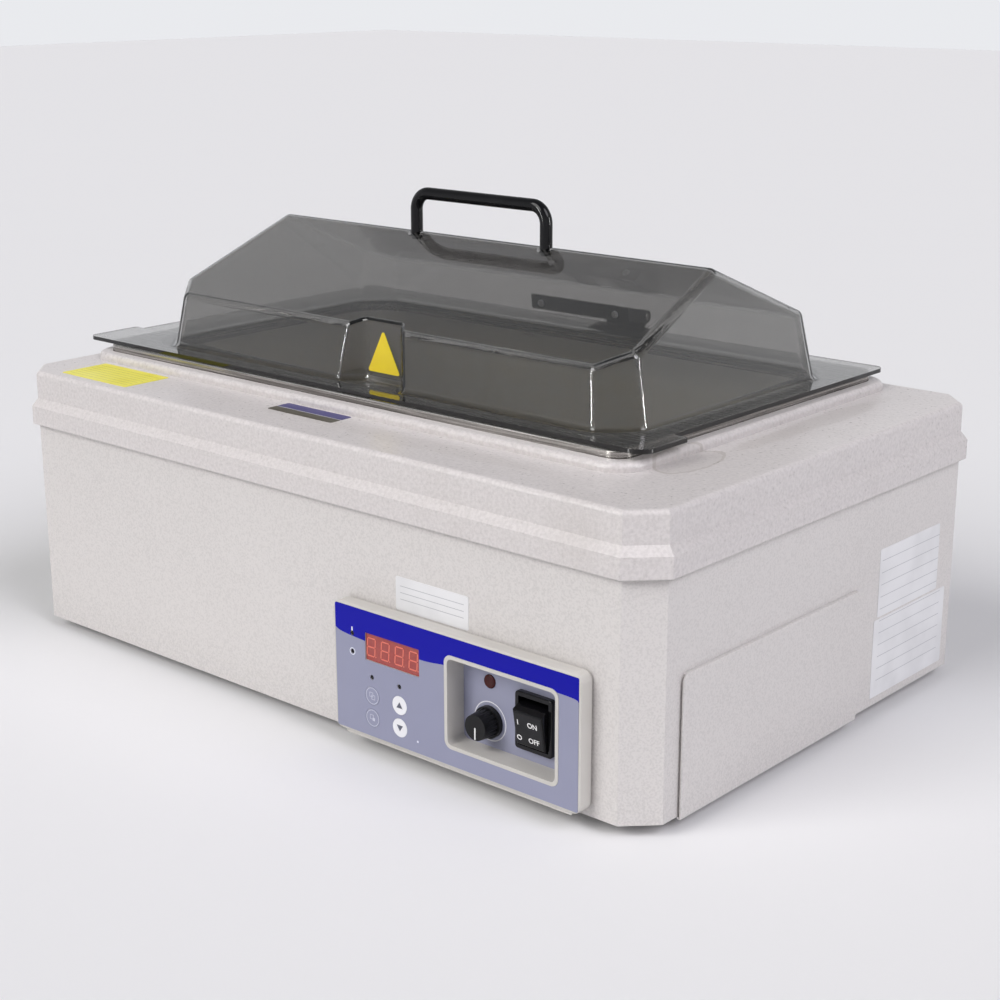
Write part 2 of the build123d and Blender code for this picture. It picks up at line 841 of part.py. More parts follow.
def plate_hole(x):
    """Screw hole through the lid's rear wall and the hinge plate."""
    return wall_frame() * Pos(x - dome_x, 0, 0) * Rot(90, 0, 0) * Cylinder(small_screw_r + screw_gap, 20)


def lid_handle():
    z0 = seat_z
    z1 = ridge_z + handle_h
    a = handle_pitch / 2
    pts = [(dome_x - a, dome_y, z0), (dome_x - a, dome_y, z1),
           (dome_x + a, dome_y, z1), (dome_x + a, dome_y, z0)]
    path = FilletPolyline(*pts, radius=handle_bend)
    ring = Plane(path @ 0, z_dir=path % 0).location * Circle(handle_r)
    bar = sweep(ring, path=path)
    for s in (-1, 1):
        bar -= rod_z(dome_x + s * a, dome_y, z0 - 1, z0 + handle_screw_grip + 1, handle_screw_r + 0.05)
    return bar


def handle_screws():
    screws = []
    for s in (-1, 1):
        x = dome_x + s * handle_pitch / 2
        screws.append(pan_screw(x, dome_y, seat_z - handle_pad_t, handle_screw_r,
                                handle_pad_t + handle_screw_grip, 2.4, (0, 0, 1)))
    return Compound(children=screws)


def hinge_plate():
    """Plate on the lid's rear wall with two arms that carry the pin."""
    plate = wall_frame() * Pos(0, plate_t / 2, 0) * Box(plate_w, plate_t, plate_h)
    for s in (-1, 1):
        plate -= plate_hole(dome_x + s * plate_screw_pitch / 2)
    y0 = dome_y + dome_d / 2 - dome_taper_y * plate_rise
    z0 = dome_z + plate_rise
    pts = [(0, y0 + 1.2, z0 + 0.5), (0, y0 + plate_t, z0 + plate_h - 0.5),
           (0, pivot_y, pivot_z + knuckle_r), (0, pivot_y, pivot_z - knuckle_r)]
    arm_face = make_face(Polyline(*pts, close=True))
    for s in (-1, 1):
        x = dome_x + s * arm_pitch / 2
        arm = Pos(x - arm_t / 2, 0, 0) * extrude(arm_face, arm_t, dir=(1, 0, 0))
        arm += rod_x(x - arm_t / 2, x + arm_t / 2, pivot_y, pivot_z, knuckle_r)
        plate += arm
    plate -= wall_frame() * Pos(0, -20, 0) * Box(plate_w + 20, 40, 200)
    plate -= rod_x(dome_x - arm_pitch, dome_x + arm_pitch, pivot_y, pivot_z, pin_r + 0.01)
    return plate


def hinge_plate_screws():
    screws = []
    for s in (-1, 1):
        screw = pan_screw(0, 0, 0, small_screw_r, lid_t + plate_t + 1.5, 1.8, (0, 0, 1))
        spot = wall_frame() * Pos(s * plate_screw_pitch / 2, -lid_t, 0) * Rot(-90, 0, 0)
        screws.append(spot * screw)
    return Compound(children=screws)


def hinge_pin():
    end = arm_pitch / 2 + arm_t / 2 + 1
    pin = rod_x(dome_x - end, dome_x + end, pivot_y, pivot_z, pin_r)
    return chamfer(pin.edges(), 0.5)


def hinge_base():
    """Fixed leaf behind the cover with the barrel that the pin turns in."""
    half = arm_pitch / 2 - arm_t / 2 - arm_gap
    barrel = rod_x(dome_x - half, dome_x + half, pivot_y, pivot_z, knuckle_r)
    z0 = cover_top - base_leaf_drop
    leaf = block(dome_x - half, dome_x + half, back, back + base_leaf_t, z0, pivot_z)
    web = block(dome_x - half, dome_x + half, pivot_y, back + base_leaf_t, pivot_z - knuckle_r, pivot_z)
    base = barrel + leaf + web
    base -= rod_x(dome_x - half - 1, dome_x + half + 1, pivot_y, pivot_z, pin_r + pin_gap)
    for s in (-1, 1):
        base -= rod_y(dome_x + s * base_screw_pitch / 2, back - 1, back + base_leaf_t + 1, base_screw_z(),
                      small_screw_r + screw_gap)
    return base


def hinge_base_screws():
    screws = []
    for s in (-1, 1):
        x = dome_x + s * base_screw_pitch / 2
        screws.append(pan_screw(x, back + base_leaf_t, base_screw_z(), small_screw_r,
                                base_leaf_t + cover_wall + 2, 1.6, (0, -1, 0)))
    return Compound(children=screws)


# Front panel
def front_bezel():
    z_mid = bezel_z + bezel_h / 2
    rear = front - bezel_neck
    bezel = plate_y(bezel_w, bezel_h, bezel_round, panel_y, rear, bezel_x, z_mid)
    bezel = fillet(bezel.edges().group_by(Axis.Y)[0], bezel_edge)
    bezel += plate_y(bezel_w - 2 * bezel_neck_in, bezel_h - 2 * bezel_neck_in, bezel_round - bezel_neck_in,
                     rear - 1, front, bezel_x, z_mid)
    bezel += plate_y(lip_strip_w, 2 * lip_strip_h, 1, panel_y + 2, rear, bezel_x, bezel_z)
    hollow = 2 * (bezel_wall + bezel_neck_in)
    bezel -= plate_y(bezel_w - hollow, bezel_h - hollow, bezel_round - bezel_neck_in,
                     panel_y + bezel_wall, front + 1, bezel_x, z_mid)
    bezel -= plate_y(bezel_w - 2 * overlay_margin, bezel_h - 2 * overlay_margin, overlay_round + overlay_gap,
                     panel_y - 1, panel_y + overlay_sink, bezel_x, z_mid)
    cup = plate_y(pocket_w, pocket_h, pocket_round, panel_y - overlay_t, floor_y + bezel_wall,
                  pocket_x, pocket_z)
    bezel += cup
    bezel -= plate_y(pocket_w - 2 * pocket_rim, pocket_h - 2 * pocket_rim, pocket_round - pocket_rim + 0.5,
                     panel_y - 2, floor_y, pocket_x, pocket_z)
    bezel -= block(display_x - display_w / 2, display_x + display_w / 2, panel_y - 1, panel_y + 10,
                   display_z - display_h / 2, display_z + display_h / 2)
    for name, x, z in key_places():
        bezel -= rod_y(x, panel_y - 1, panel_y + 10, z, key_r + key_gap)
    for x, z in lamp_places():
        bezel -= rod_y(x, panel_y - 1, panel_y + 10, z, lamp_r + thread_gap)
    bezel -= rod_y(knob_x, floor_y - 1, floor_y + 10, knob_z, bush_r + thread_gap)
    bezel -= rod_y(knob_x, floor_y - 1, floor_y + 10, lens_z, lens_r + thread_gap)
    hole_x = switch_w / 2 - switch_hole_inset
    hole_z = switch_h / 2 - switch_hole_inset
    bezel -= block(switch_x - hole_x, switch_x + hole_x, floor_y - 1, floor_y + 10,
                   switch_z - hole_z, switch_z + hole_z)
    for x, z in standoff_places():
        bezel += rod_y(x, panel_y + bezel_wall - 0.5, board_y - 4, z, standoff_r)
    return bezel


def key_places():
    return [("menu_key", key_left_x, key_top_z), ("set_key", key_left_x, key_low_z),
            ("up_key", key_right_x, key_top_z), ("down_key", key_right_x, key_low_z)]


def lamp_places():
    return [(key_left_x, lamp_z), (key_right_x, lamp_z), (icon_x, icon_top_z), (icon_x, icon_low_z)]


def standoff_places():
    return [(x, z) for x in (board_x0 + standoff_in, board_x1 - standoff_in)
            for z in (board_z0 + standoff_in, board_z1 - standoff_in)]


def panel_overlay():
    z_mid = bezel_z + bezel_h / 2
    y0 = panel_y - overlay_t + overlay_sink
    y1 = panel_y + overlay_sink
    margin = 2 * (overlay_margin + overlay_gap)
    film = plate_y(bezel_w - margin, bezel_h - margin, overlay_round, y0, y1, bezel_x, z_mid)
    film -= plate_y(pocket_w + overlay_gap, pocket_h + overlay_gap, pocket_round + overlay_gap / 2,
                    y0 - 1, y1 + 1, pocket_x, pocket_z)
    film -= block(display_x - display_w / 2, display_x + display_w / 2, y0 - 1, y1 + 1,
                  display_z - display_h / 2, display_z + display_h / 2)
    for name, x, z in key_places():
        film -= rod_y(x, y0 - 1, y1 + 1, z, key_r + key_gap)
    for x, z in lamp_places():
        film -= rod_y(x, y0 - 1, y1 + 1, z, lamp_r + thread_gap)
    return film


def display_window():
    y0 = panel_y + display_recess
    half_x = display_w / 2 - display_gap
    half_z = display_h / 2 - display_gap
    return block(display_x - half_x, display_x + half_x, y0, y0 + display_t,
                 display_z - half_z, display_z + half_z)


def display_module():
    """Four-digit lamp module between the window and the board."""
    half_x = display_w / 2 - 1
    half_z = display_h / 2 - 1
    return block(display_x - half_x, display_x + half_x, panel_y + display_recess + display_t, board_y,
                 display_z - half_z, display_z + half_z)


def status_lamps():
    lamps = []
    for x, z in lamp_places():
        lamps.append(rod_y(x, panel_y + lamp_recess, board_y, z, lamp_r))
    return Compound(children=lamps)


def plug_place():
    """Middle of the plug on the back of the board, where a wire starts."""
    return (board_x0 + board_x1) / 2 + 11, board_y + board_t + 9, board_z1 - 20


def control_board():
    back_y = board_y + board_t
    board = block(board_x0, board_x1, board_y, back_y, board_z0, board_z1)
    board += block(board_x0 + 4, board_x0 + 18, back_y, back_y + 6, board_z0 + 14, board_z0 + 44)
    x, y, z = plug_place()
    board += block(x - 20, x + 20, back_y, y, z - 4, z + 4)
    for x, z in standoff_places():
        board -= rod_y(x, board_y - 1, back_y + 1, z, small_screw_r + screw_gap)
    return board


def board_standoffs():
    posts = []
    for x, z in standoff_places():
        post = rod_y(x, board_y - 4, board_y, z, standoff_r)
        post += rod_y(x, board_y, board_y + board_t + 2, z, small_screw_r)
        post += rod_y(x, board_y + board_t, board_y + board_t + 2, z, standoff_r)
        posts.append(post)
    return Compound(children=posts)


def key_switches():
    """Tact switches on the board, just behind the keys."""
    tacts = []
    top = key_back() + key_travel + 0.3
    for name, x, z in key_places():
        tacts.append(block(x - 3, x + 3, top + 1, board_y, z - 3, z + 3) + rod_y(x, top, top + 1, z, 1.7))
    return Compound(children=tacts)


def key_back():
    """Rear face of a key's retaining lip."""
    return panel_y + bezel_wall + key_lip_gap + key_lip_t


def key_cap(x, z):
    """Round key with a lip that keeps it behind the bezel."""
    cap = rod_y(x, panel_y - key_proud, key_back(), z, key_r)
    cap = fillet(cap.edges().group_by(Axis.Y)[0], 0.15)
    return cap + rod_y(x, key_back() - key_lip_t, key_back(), z, key_r + key_lip)


def safety_lens():
    lens = rod_y(knob_x, floor_y - 1.2, floor_y, lens_z, lens_r + 0.6)
    lens = fillet(lens.edges().group_by(Axis.Y)[0], 1.0)
    return lens + rod_y(knob_x, floor_y, floor_y + 12, lens_z, lens_r)


def safety_thermostat():
    """Thermostat body behind the panel, with its bush and shaft."""
    y0 = floor_y + bezel_wall
    body = rod_y(knob_x, y0, y0 + thermostat_len, knob_z, thermostat_r)
    body += rod_y(knob_x, floor_y - 3, y0, knob_z, bush_r)
    body += rod_y(knob_x, floor_y - 10, floor_y - 3, knob_z, shaft_r)
    return body


def thermostat_nut():
    face = Pos(knob_x, floor_y - 2, knob_z) * Rot(90, 0, 0) * RegularPolygon(7.5, 6)
    nut = extrude(face, 2, dir=(0, 1, 0))
    return nut - rod_y(knob_x, floor_y - 4, floor_y + 1, knob_z, bush_r + 0.05)


def safety_knob():
    """Pointer knob: a skirt, a fluted grip and a pointer bar."""
    y1 = floor_y - knob_clear
    y0 = y1 - knob_len
    knob = rod_y(knob_x, y1 - knob_skirt, y1, knob_z, knob_base_r)
    cone = Cone(knob_top_r + 1, knob_top_r, knob_len - knob_skirt)
    knob += Pos(knob_x, (y0 + y1 - knob_skirt) / 2, knob_z) * Rot(90, 0, 0) * cone
    reach = knob_top_r + knob_flute_r + 0.2
    for i in range(knob_flutes):
        a = 2 * math.pi * (i + 0.5) / knob_flutes
        knob -= rod_y(knob_x + reach * math.cos(a), y0 - 1, y1 - knob_skirt, knob_z + reach * math.sin(a),
                      knob_flute_r)
    knob -= rod_y(knob_x, y1 - 3.2, y1 + 1, knob_z, 8.2)
    knob -= rod_y(knob_x, y1 - 11, y1 + 1, knob_z, shaft_r + shaft_gap)
    half = pointer_w / 2
    tip_z = knob_z - knob_top_r + 0.6
    return knob + block(knob_x - half, knob_x + half, y0 - pointer_proud, y0 + 1, tip_z, knob_z)


def rocker_switch_body():
    frame = plate_y(switch_w, switch_h, 2.5, floor_y - switch_proud, floor_y, switch_x, switch_z)
    frame = fillet(frame.edges().group_by(Axis.Y)[0], 0.8)
    body_x = switch_w / 2 - switch_body_inset
    body_z = switch_h / 2 - switch_body_inset
    body = block(switch_x - body_x, switch_x + body_x, floor_y - 0.5,
                 floor_y + switch_len, switch_z - body_z, switch_z + body_z)
    hole_x = switch_w / 2 - switch_frame
    hole_z = switch_h / 2 - switch_frame
    well = block(switch_x - hole_x, switch_x + hole_x, floor_y - switch_proud - 1, floor_y + switch_well,
                 switch_z - hole_z, switch_z + hole_z)
    body = frame + body - well
    for x in (-8, 0, 8):
        for z in (-9, 9):
            body += block(switch_x + x - 0.4, switch_x + x + 0.4, floor_y + switch_len,
                          floor_y + switch_len + blade_len, switch_z + z - 3, switch_z + z + 3)
    body += rod_x(switch_x - hole_x - 1, switch_x + hole_x + 1, axle_y, switch_z, rocker_axle_r)
    return body


def power_rocker():
    """Rocker: a block with one flat face, tipped about an axle deep in the switch."""
    half_x = switch_w / 2 - switch_frame - rocker_clear
    face = rocker_face_h / 2
    flare = face + rocker_flare
    upper = [(0, -rocker_reach, face), (0, -rocker_reach / 2, flare), (0, 0, face), (0, 4.0, face / 2)]
    lower = [(0, y, -z) for x, y, z in reversed(upper)]
    shape = extrude(make_face(Polyline(*upper, *lower, close=True)), 2 * half_x, dir=(1, 0, 0))
    shape = Pos(-half_x, 0, 0) * shape
    shape = fillet(shape.edges().group_by(Axis.Y)[0], 1.6)
    shape -= rod_x(-half_x - 1, half_x + 1, 0, 0, rocker_axle_r + 0.05)
    return Pos(switch_x, axle_y, switch_z) * Rot(rocker_tilt, 0, 0) * shape


# Right side
def side_access_cover():
    """Thin tray over the side opening: its front edge stands off the wall, and a fold goes under the case."""
    y = (side_y0 + side_y1) / 2
    x1 = half_w + side_proud
    h = side_top + side_drop
    z = (side_top - side_drop) / 2
    tray = plate_x(side_len, h, side_round, half_w, x1, y, z)
    tray += block(half_w, x1, side_y0, side_y1, -side_drop, side_round)
    tray = fillet(tray.edges().group_by(Axis.X)[-1], side_edge)
    inner_y0 = side_y0 + side_lap + side_wall
    inner_len = side_y1 - side_wall - inner_y0
    tray -= plate_x(inner_len, h - 2 * side_wall, 2, half_w - 1, x1 - side_sheet, inner_y0 + inner_len / 2, z)
    tray -= block(half_w - 1, x1 - side_sheet, side_y0 - 1, side_y0 + side_lap, 0, side_top + 1)
    tray += block(half_w - side_fold, half_w + 1, side_y0 + side_fold_inset, side_y1 - side_fold_inset,
                  -side_drop, 0)
    for sx, sy in side_screw_places():
        tray -= rod_z(sx, sy, -side_drop - 1, 1, small_screw_r + screw_gap)
    return tray


def side_cover_screws():
    screws = []
    for x, y in side_screw_places():
        screws.append(pan_screw(x, y, -side_drop, small_screw_r, side_drop + 2 * sheet + 4, 1.5, (0, 0, 1)))
    return Compound(children=screws)


def power_inlet():
    """Three-pole inlet socket in the rear wall."""
    flange = plate_y(inlet_flange_w, inlet_h + 4, 4, back, back + inlet_flange_t, inlet_x, inlet_z)
    flange += plate_y(inlet_w, inlet_h, 3, back - inlet_depth, back, inlet_x, inlet_z)
    flange -= plate_y(inlet_w - 2 * inlet_wall, inlet_h - 2 * inlet_wall, 2, back - inlet_depth + 4,
                      back + inlet_flange_t + 1, inlet_x, inlet_z)
    for x, z in ((-7, -1.5), (0, 2.0), (7, -1.5)):
        flange += block(inlet_x + x - 1, inlet_x + x + 1, back - inlet_depth - 6, back - 4,
                        inlet_z + z - 2, inlet_z + z + 2)
    for s in (-1, 1):
        x = inlet_x + s * inlet_pitch / 2
        flange -= rod_y(x, back - 1, back + 10, inlet_z, small_screw_r + screw_gap)
    return flange


def inlet_screws():
    screws = []
    for s in (-1, 1):
        screws.append(pan_screw(inlet_x + s * inlet_pitch / 2, back + inlet_flange_t, inlet_z, small_screw_r,
                                inlet_flange_t + sheet + 4, 1.6, (0, -1, 0)))
    return Compound(children=screws)


def power_supply():
    """Transformer block on its foot plate."""
    y0 = supply_y - supply_d / 2
    y1 = supply_y + supply_d / 2
    foot_part = block(bay_x0, bay_x1, y0, y1, bay_z, bay_z + 2)
    core = block(bay_x0 + 6, bay_x1 - 6, y0 + 9, y1 - 9, bay_z + 2, bay_z + supply_h)
    coil = block(bay_x0 + 10, bay_x1 - 10, y0 + 3, y1 - 3, bay_z + 8, bay_z + supply_h - 8)
    return foot_part + core + coil


def relay_heat_sink():
    """Finned block that carries the heater relay."""
    sink = block(bay_x0 + 4, bay_x1, sink_y, sink_y + sink_d, bay_z, bay_z + sink_h)
    fins = 6
    pitch = (sink_d - 3) / fins
    for i in range(fins):
        y = sink_y + 4 + i * pitch
        sink -= block(bay_x0 + 3, bay_x1 + 1, y, y + 4, bay_z + 6, bay_z + sink_h + 1)
    return sink


def heater_relay():
    y0 = sink_y + sink_d
    return block(bay_x0 + 10, bay_x1 - 6, y0, y0 + relay_t, bay_z, bay_z + relay_h)


def wire(points, bend):
    """One insulated wire through a list of points."""
    path = FilletPolyline(*points, radius=bend)
    ring = Plane(path @ 0, z_dir=path % 0).location * Circle(wire_r)
    return sweep(ring, path=path)


def wiring():
    """Wires between the inlet, relay, supply, switch, board and heater mats."""
    pins_y = back - inlet_depth - 6
    relay_y = sink_y + sink_d + relay_t
    coil_y = supply_y - supply_d / 2 + 3
    pin_z = inlet_z - 1.5
    wires = []
    for x, x_end, share in ((-7, bay_x0 + 20, 0.54), (7, bay_x0 + 40, 0.70)):
        y_mid = relay_y + share * (pins_y - relay_y)
        wires.append(wire([(inlet_x + x, pins_y, pin_z), (inlet_x + x, y_mid, pin_z),
                           (x_end, y_mid, bay_z + 21), (x_end, relay_y, bay_z + 21)], 6))
    tab_y = floor_y + switch_len + blade_len
    for x, x_end in ((-8, bay_x0 + 18), (8, bay_x0 + 40)):
        wires.append(wire([(switch_x + x, tab_y, switch_z - 9), (switch_x + x, tab_y + 22, switch_z - 9),
                           (x_end, tab_y + 44, bay_z + 17), (x_end, coil_y, bay_z + 17)], 6))
    x, y, z = plug_place()
    x_end = bay_x0 + 29
    wires.append(wire([(x, y, z), (x, y + 30, z), (bay_x0 - 11, coil_y - 43, bay_z + 27),
                       (x_end, coil_y - 28, bay_z + 25), (x_end, coil_y, bay_z + 25)], 8))
    top = mat_top - 5
    for side in (-1, 1):
        x = rim_x + side * mat_side + lead_side
        y = sink_y + sink_d / 2 + side * 8
        low = bay_z + 15 + side * 4
        third = (top - low) / 3
        wires.append(wire([(x, lead_y, top), (x, lead_y, top - third), (x, y, low + third),
                           (bay_x0 - 10, y, low), (bay_x0 + 4, y, low)], [4, 4, 6]))
    return Compound(children=wires)


# Labels: plain stickers
def front_label():
    x = bezel_x + front_label_side
    z = bezel_z + bezel_h + front_label_rise
    return plate_y(front_label_w, front_label_h, label_round, front - label_t, front, x, z)


def cover_label_yellow():
    return rounded(yellow_label_w, yellow_label_d, label_round, cover_top, cover_top + label_t,
                   yellow_label_in - half_w, front + yellow_label_front)


def cover_label_dark():
    return rounded(dark_label_w, dark_label_d, label_round, cover_top, cover_top + label_t,
                   dark_label_x, front + dark_label_front)


def side_labels():
    """Two stickers, each with its length, height, distance from the rear and height of its middle."""
    labels = []
    for length, height, from_back, z in (side_label_upper, side_label_lower):
        labels.append(plate_x(length, height, label_round, half_w, half_w + label_t, back - from_back, z))
    return Compound(children=labels)


def lid_label():
    """Three-cornered sticker on the flat back of the lid's recess."""
    x = dome_x + notch_x
    y = dome_y - dome_d / 2 + notch_depth
    z = lid_top + dome_foot_round + lid_label_gap
    a = lid_label_w / 2
    outline = Polyline((x - a, y, z), (x + a, y, z), (x, y, z + lid_label_h), close=True)
    sheet = extrude(make_face(outline), label_t, dir=(0, -1, 0))
    return fillet(sheet.edges().filter_by(Axis.Y), label_round)


save("case_shell", case_shell())
save("base_plate", base_plate())
for name, x, y in foot_places():
    save("foot_" + name, foot(x, y))
save("foot_screws", foot_screws())
save("top_cover", top_cover())
save("cover_screws", cover_screws())
save("tank", tank())
save("tank_gasket", tank_gasket())
save("tank_insulation", tank_insulation())
save("heater_mat_left", heater_mat(-1))
save("heater_mat_right", heater_mat(1))
save("heater_plate_left", heater_plate(-1))
save("heater_plate_right", heater_plate(1))
save("heater_nuts", heater_nuts())
save("temperature_sensor", temperature_sensor())
save("safety_bulb", safety_bulb())
save("capillary_tube", capillary_tube())
save("diffuser_shelf", diffuser_shelf())
save("lid_shell", lid_shell())
save("lid_handle", lid_handle())
save("handle_screws", handle_screws())
save("hinge_plate", hinge_plate())
save("hinge_plate_screws", hinge_plate_screws())
save("hinge_pin", hinge_pin())
save("hinge_base", hinge_base())
save("hinge_base_screws", hinge_base_screws())
save("front_bezel", front_bezel())
save("panel_overlay", panel_overlay())
save("display_window", display_window())
save("display_module", display_module())
save("status_lamps", status_lamps())
save("control_board", control_board())
save("board_standoffs", board_standoffs())
save("key_switches", key_switches())
for name, x, z in key_places():
    save(name, key_cap(x, z))
save("safety_lens", safety_lens())
save("safety_thermostat", safety_thermostat())
save("thermostat_nut", thermostat_nut())
save("safety_knob", safety_knob())
save("rocker_switch_body", rocker_switch_body())
save("power_rocker", power_rocker())
save("side_access_cover", side_access_cover())
save("side_cover_screws", side_cover_screws())
save("power_inlet", power_inlet())
save("inlet_screws", inlet_screws())
save("power_supply", power_supply())
save("relay_heat_sink", relay_heat_sink())
save("heater_relay", heater_relay())
save("wiring", wiring())
save("front_label", front_label())
save("cover_label_yellow", cover_label_yellow())
save("cover_label_dark", cover_label_dark())
save("side_labels", side_labels())
save("lid_label", lid_label())
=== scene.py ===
# %% [markdown]
# # A laboratory water bath
# The bath is a painted steel case with a stainless tank, a smoked lid on a
# rear hinge, and a small control panel. Its solids come ready made from the
# imported model, so this lesson is about finishes and small printed details.
# First the imported model is loaded.

# %% Load the imported model
import math

import bmesh
import bpy
from mathutils import Euler, Matrix, Vector


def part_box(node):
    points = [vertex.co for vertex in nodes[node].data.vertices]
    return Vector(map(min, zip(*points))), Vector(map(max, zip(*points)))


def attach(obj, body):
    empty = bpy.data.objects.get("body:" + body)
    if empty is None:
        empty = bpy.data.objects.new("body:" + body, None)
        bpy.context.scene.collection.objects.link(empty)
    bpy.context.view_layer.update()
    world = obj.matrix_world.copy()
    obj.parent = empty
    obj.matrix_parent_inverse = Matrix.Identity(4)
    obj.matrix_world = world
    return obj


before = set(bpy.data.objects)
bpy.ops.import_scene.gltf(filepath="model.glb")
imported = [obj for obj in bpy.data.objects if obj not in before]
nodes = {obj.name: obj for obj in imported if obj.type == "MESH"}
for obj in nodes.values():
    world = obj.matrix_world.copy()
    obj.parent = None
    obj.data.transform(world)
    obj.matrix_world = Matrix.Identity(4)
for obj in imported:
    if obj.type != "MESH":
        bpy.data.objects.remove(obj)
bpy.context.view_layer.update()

# %% [markdown]
# ## Measuring from the solids
# A print or a mark has to sit exactly on the part that carries it. Typing
# places by hand goes wrong when a part moves, so the places are read from the
# boxes of the solids. All lengths are metres, and `MM` turns millimetres into
# metres.

# %% Places read from the solids
MM = 0.001


def middle(node):
    """Middle of a solid's box."""
    low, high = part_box(node)
    return (low + high) / 2


overlay_low, overlay_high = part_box("panel_overlay")
pocket_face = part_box("thermostat_nut")[1].y
print("panel face:", round(overlay_low.y, 4), "pocket floor:", round(pocket_face, 4))

# %% [markdown]
# ## Shader sums
# A finish is a formula: speckle plus stain, times a wear mask. Wiring such
# formulas by hand takes dozens of lines, so a small class wraps a socket and
# lets Python's own signs make the Math nodes.


# %% A socket that can be added and multiplied
class Value:
    """One shader value. Sums and products of it add Math nodes."""

    def __init__(self, finish, socket):
        self.finish = finish
        self.socket = socket

    def math(self, operation, other=None, swap=False, clamp=False):
        """Add a Math node. swap puts the other value first."""
        pair = [self] if other is None else [self, other]
        if swap:
            pair.reverse()
        settings = {"operation": operation, "use_clamp": clamp}
        return self.finish.node("Math", settings, pair)

    def __add__(self, other):
        return self.math("ADD", other)

    def __radd__(self, other):
        return self.math("ADD", other, swap=True)

    def __sub__(self, other):
        return self.math("SUBTRACT", other)

    def __rsub__(self, other):
        return self.math("SUBTRACT", other, swap=True)

    def __mul__(self, other):
        return self.math("MULTIPLY", other)

    def __truediv__(self, other):
        return self.math("DIVIDE", other)

    def __gt__(self, other):
        return self.math("GREATER_THAN", other)

    def __lt__(self, other):
        return self.math("LESS_THAN", other)

    def __abs__(self):
        return self.math("ABSOLUTE")

    def limit(self):
        """The value kept between 0 and 1."""
        return self.math("ADD", 0.0, clamp=True)

    def most(self, other):
        """The greater of two values, which joins two masks."""
        return self.math("MAXIMUM", other)

    def wrap(self, size):
        """The value's place within a repeat of the given size."""
        return self.math("FLOORED_MODULO", size)

    def root(self):
        """The square root."""
        return self.math("SQRT")


class Finish:
    """A node material with one Principled shader and helpers for its inputs."""

    def __init__(self, name):
        self.material = bpy.data.materials.new(name)
        self.material.use_nodes = True
        self.tree = self.material.node_tree
        self.tree.nodes.clear()
        self.output = self.tree.nodes.new("ShaderNodeOutputMaterial")
        self.shader = self.tree.nodes.new("ShaderNodeBsdfPrincipled")
        self.tree.links.new(self.shader.outputs[0], self.output.inputs[0])

    def node(self, kind, settings, inputs, out=0):
        """Add a node: settings first, then the values or links of its sockets."""
        made = self.tree.nodes.new("ShaderNode" + kind)
        for key, value in settings.items():
            setattr(made, key, value)
        pairs = inputs.items() if isinstance(inputs, dict) else enumerate(inputs)
        for key, value in pairs:
            self.feed(made.inputs[key], value)
        return Value(self, made.outputs[out])

    def feed(self, socket, value):
        """Link a value to a socket, or write a number or a colour on it."""
        if isinstance(value, Value):
            self.tree.links.new(value.socket, socket)
        else:
            socket.default_value = value

    def place(self):
        """Object coordinates, as one vector."""
        return self.node("TexCoord", {}, {}, out="Object")

    def part(self, vector, axis):
        """One part of a vector, by the name of its axis."""
        return self.node("SeparateXYZ", {}, [vector], out=axis)

    def uprightness(self):
        """How far a face looks up or down, 0 to 1, in the piece's own frame."""
        facing = self.node("NewGeometry", {}, {}, out="True Normal")
        turn = {"vector_type": "NORMAL"}
        turn.update(convert_from="WORLD", convert_to="OBJECT")
        own = self.node("VectorTransform", turn, [facing])
        return abs(self.part(own, "Z"))

    def noise(self, vector, scale, detail=2.0, roughness=0.5, stretch=None):
        """Soft noise from 0 to 1. stretch scales the pattern along X, Y and Z."""
        if stretch:
            vector = self.node("Mapping", {}, {"Vector": vector, "Scale": stretch})
        sockets = {"Vector": vector, "Scale": scale, "Detail": detail}
        sockets["Roughness"] = roughness
        return self.node("TexNoise", {}, sockets)

    def spread(self, value, low, high, to_low=0.0, to_high=1.0):
        """Stretch the span low to high over to_low to to_high, and stop there."""
        settings = {"clamp": True, "interpolation_type": "SMOOTHSTEP"}
        return self.node("MapRange", settings, [value, low, high, to_low, to_high])

    def mix(self, amount, first, second):
        """Blend of two colours: sockets 0, 6 and 7 are factor and colours."""
        sockets = {0: amount, 6: first, 7: second}
        return self.node("Mix", {"data_type": "RGBA"}, sockets, out=2)

    def bump(self, height, strength, distance):
        """Normal of a surface raised by a height of 0 to 1 times a distance."""
        sockets = {"Height": height, "Strength": strength, "Distance": distance}
        return self.node("Bump", {}, sockets)

    def set(self, **inputs):
        """Feed the shader: names with underscores stand for spaces."""
        for key, value in inputs.items():
            self.feed(self.shader.inputs[key.replace("_", " ")], value)
        return self

    def on(self, *names):
        """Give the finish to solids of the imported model."""
        for name in names:
            mesh = nodes[name].data
            mesh.materials.clear()
            mesh.materials.append(self.material)


def srgb(red, green, blue):
    """A screen colour, 0 to 255 each, as the linear colour a shader takes."""
    linear = []
    for part in (red, green, blue):
        part = part / 255
        dark = part <= 0.04045
        linear.append(part / 12.92 if dark else ((part + 0.055) / 1.055) ** 2.4)
    return (*linear, 1.0)


def from_point(first, second, first_middle, second_middle):
    """Distance from a point, on a flat face."""
    across = first - first_middle
    along = second - second_middle
    return (across * across + along * along).root()


print("shader helpers ready")

# %% [markdown]
# ## Camera
# The case's edges in the photograph fix the camera: it stands at the front
# right, about a metre and a half away and a little above the lid. Its lens is
# a short telephoto, which keeps the long edges nearly parallel.

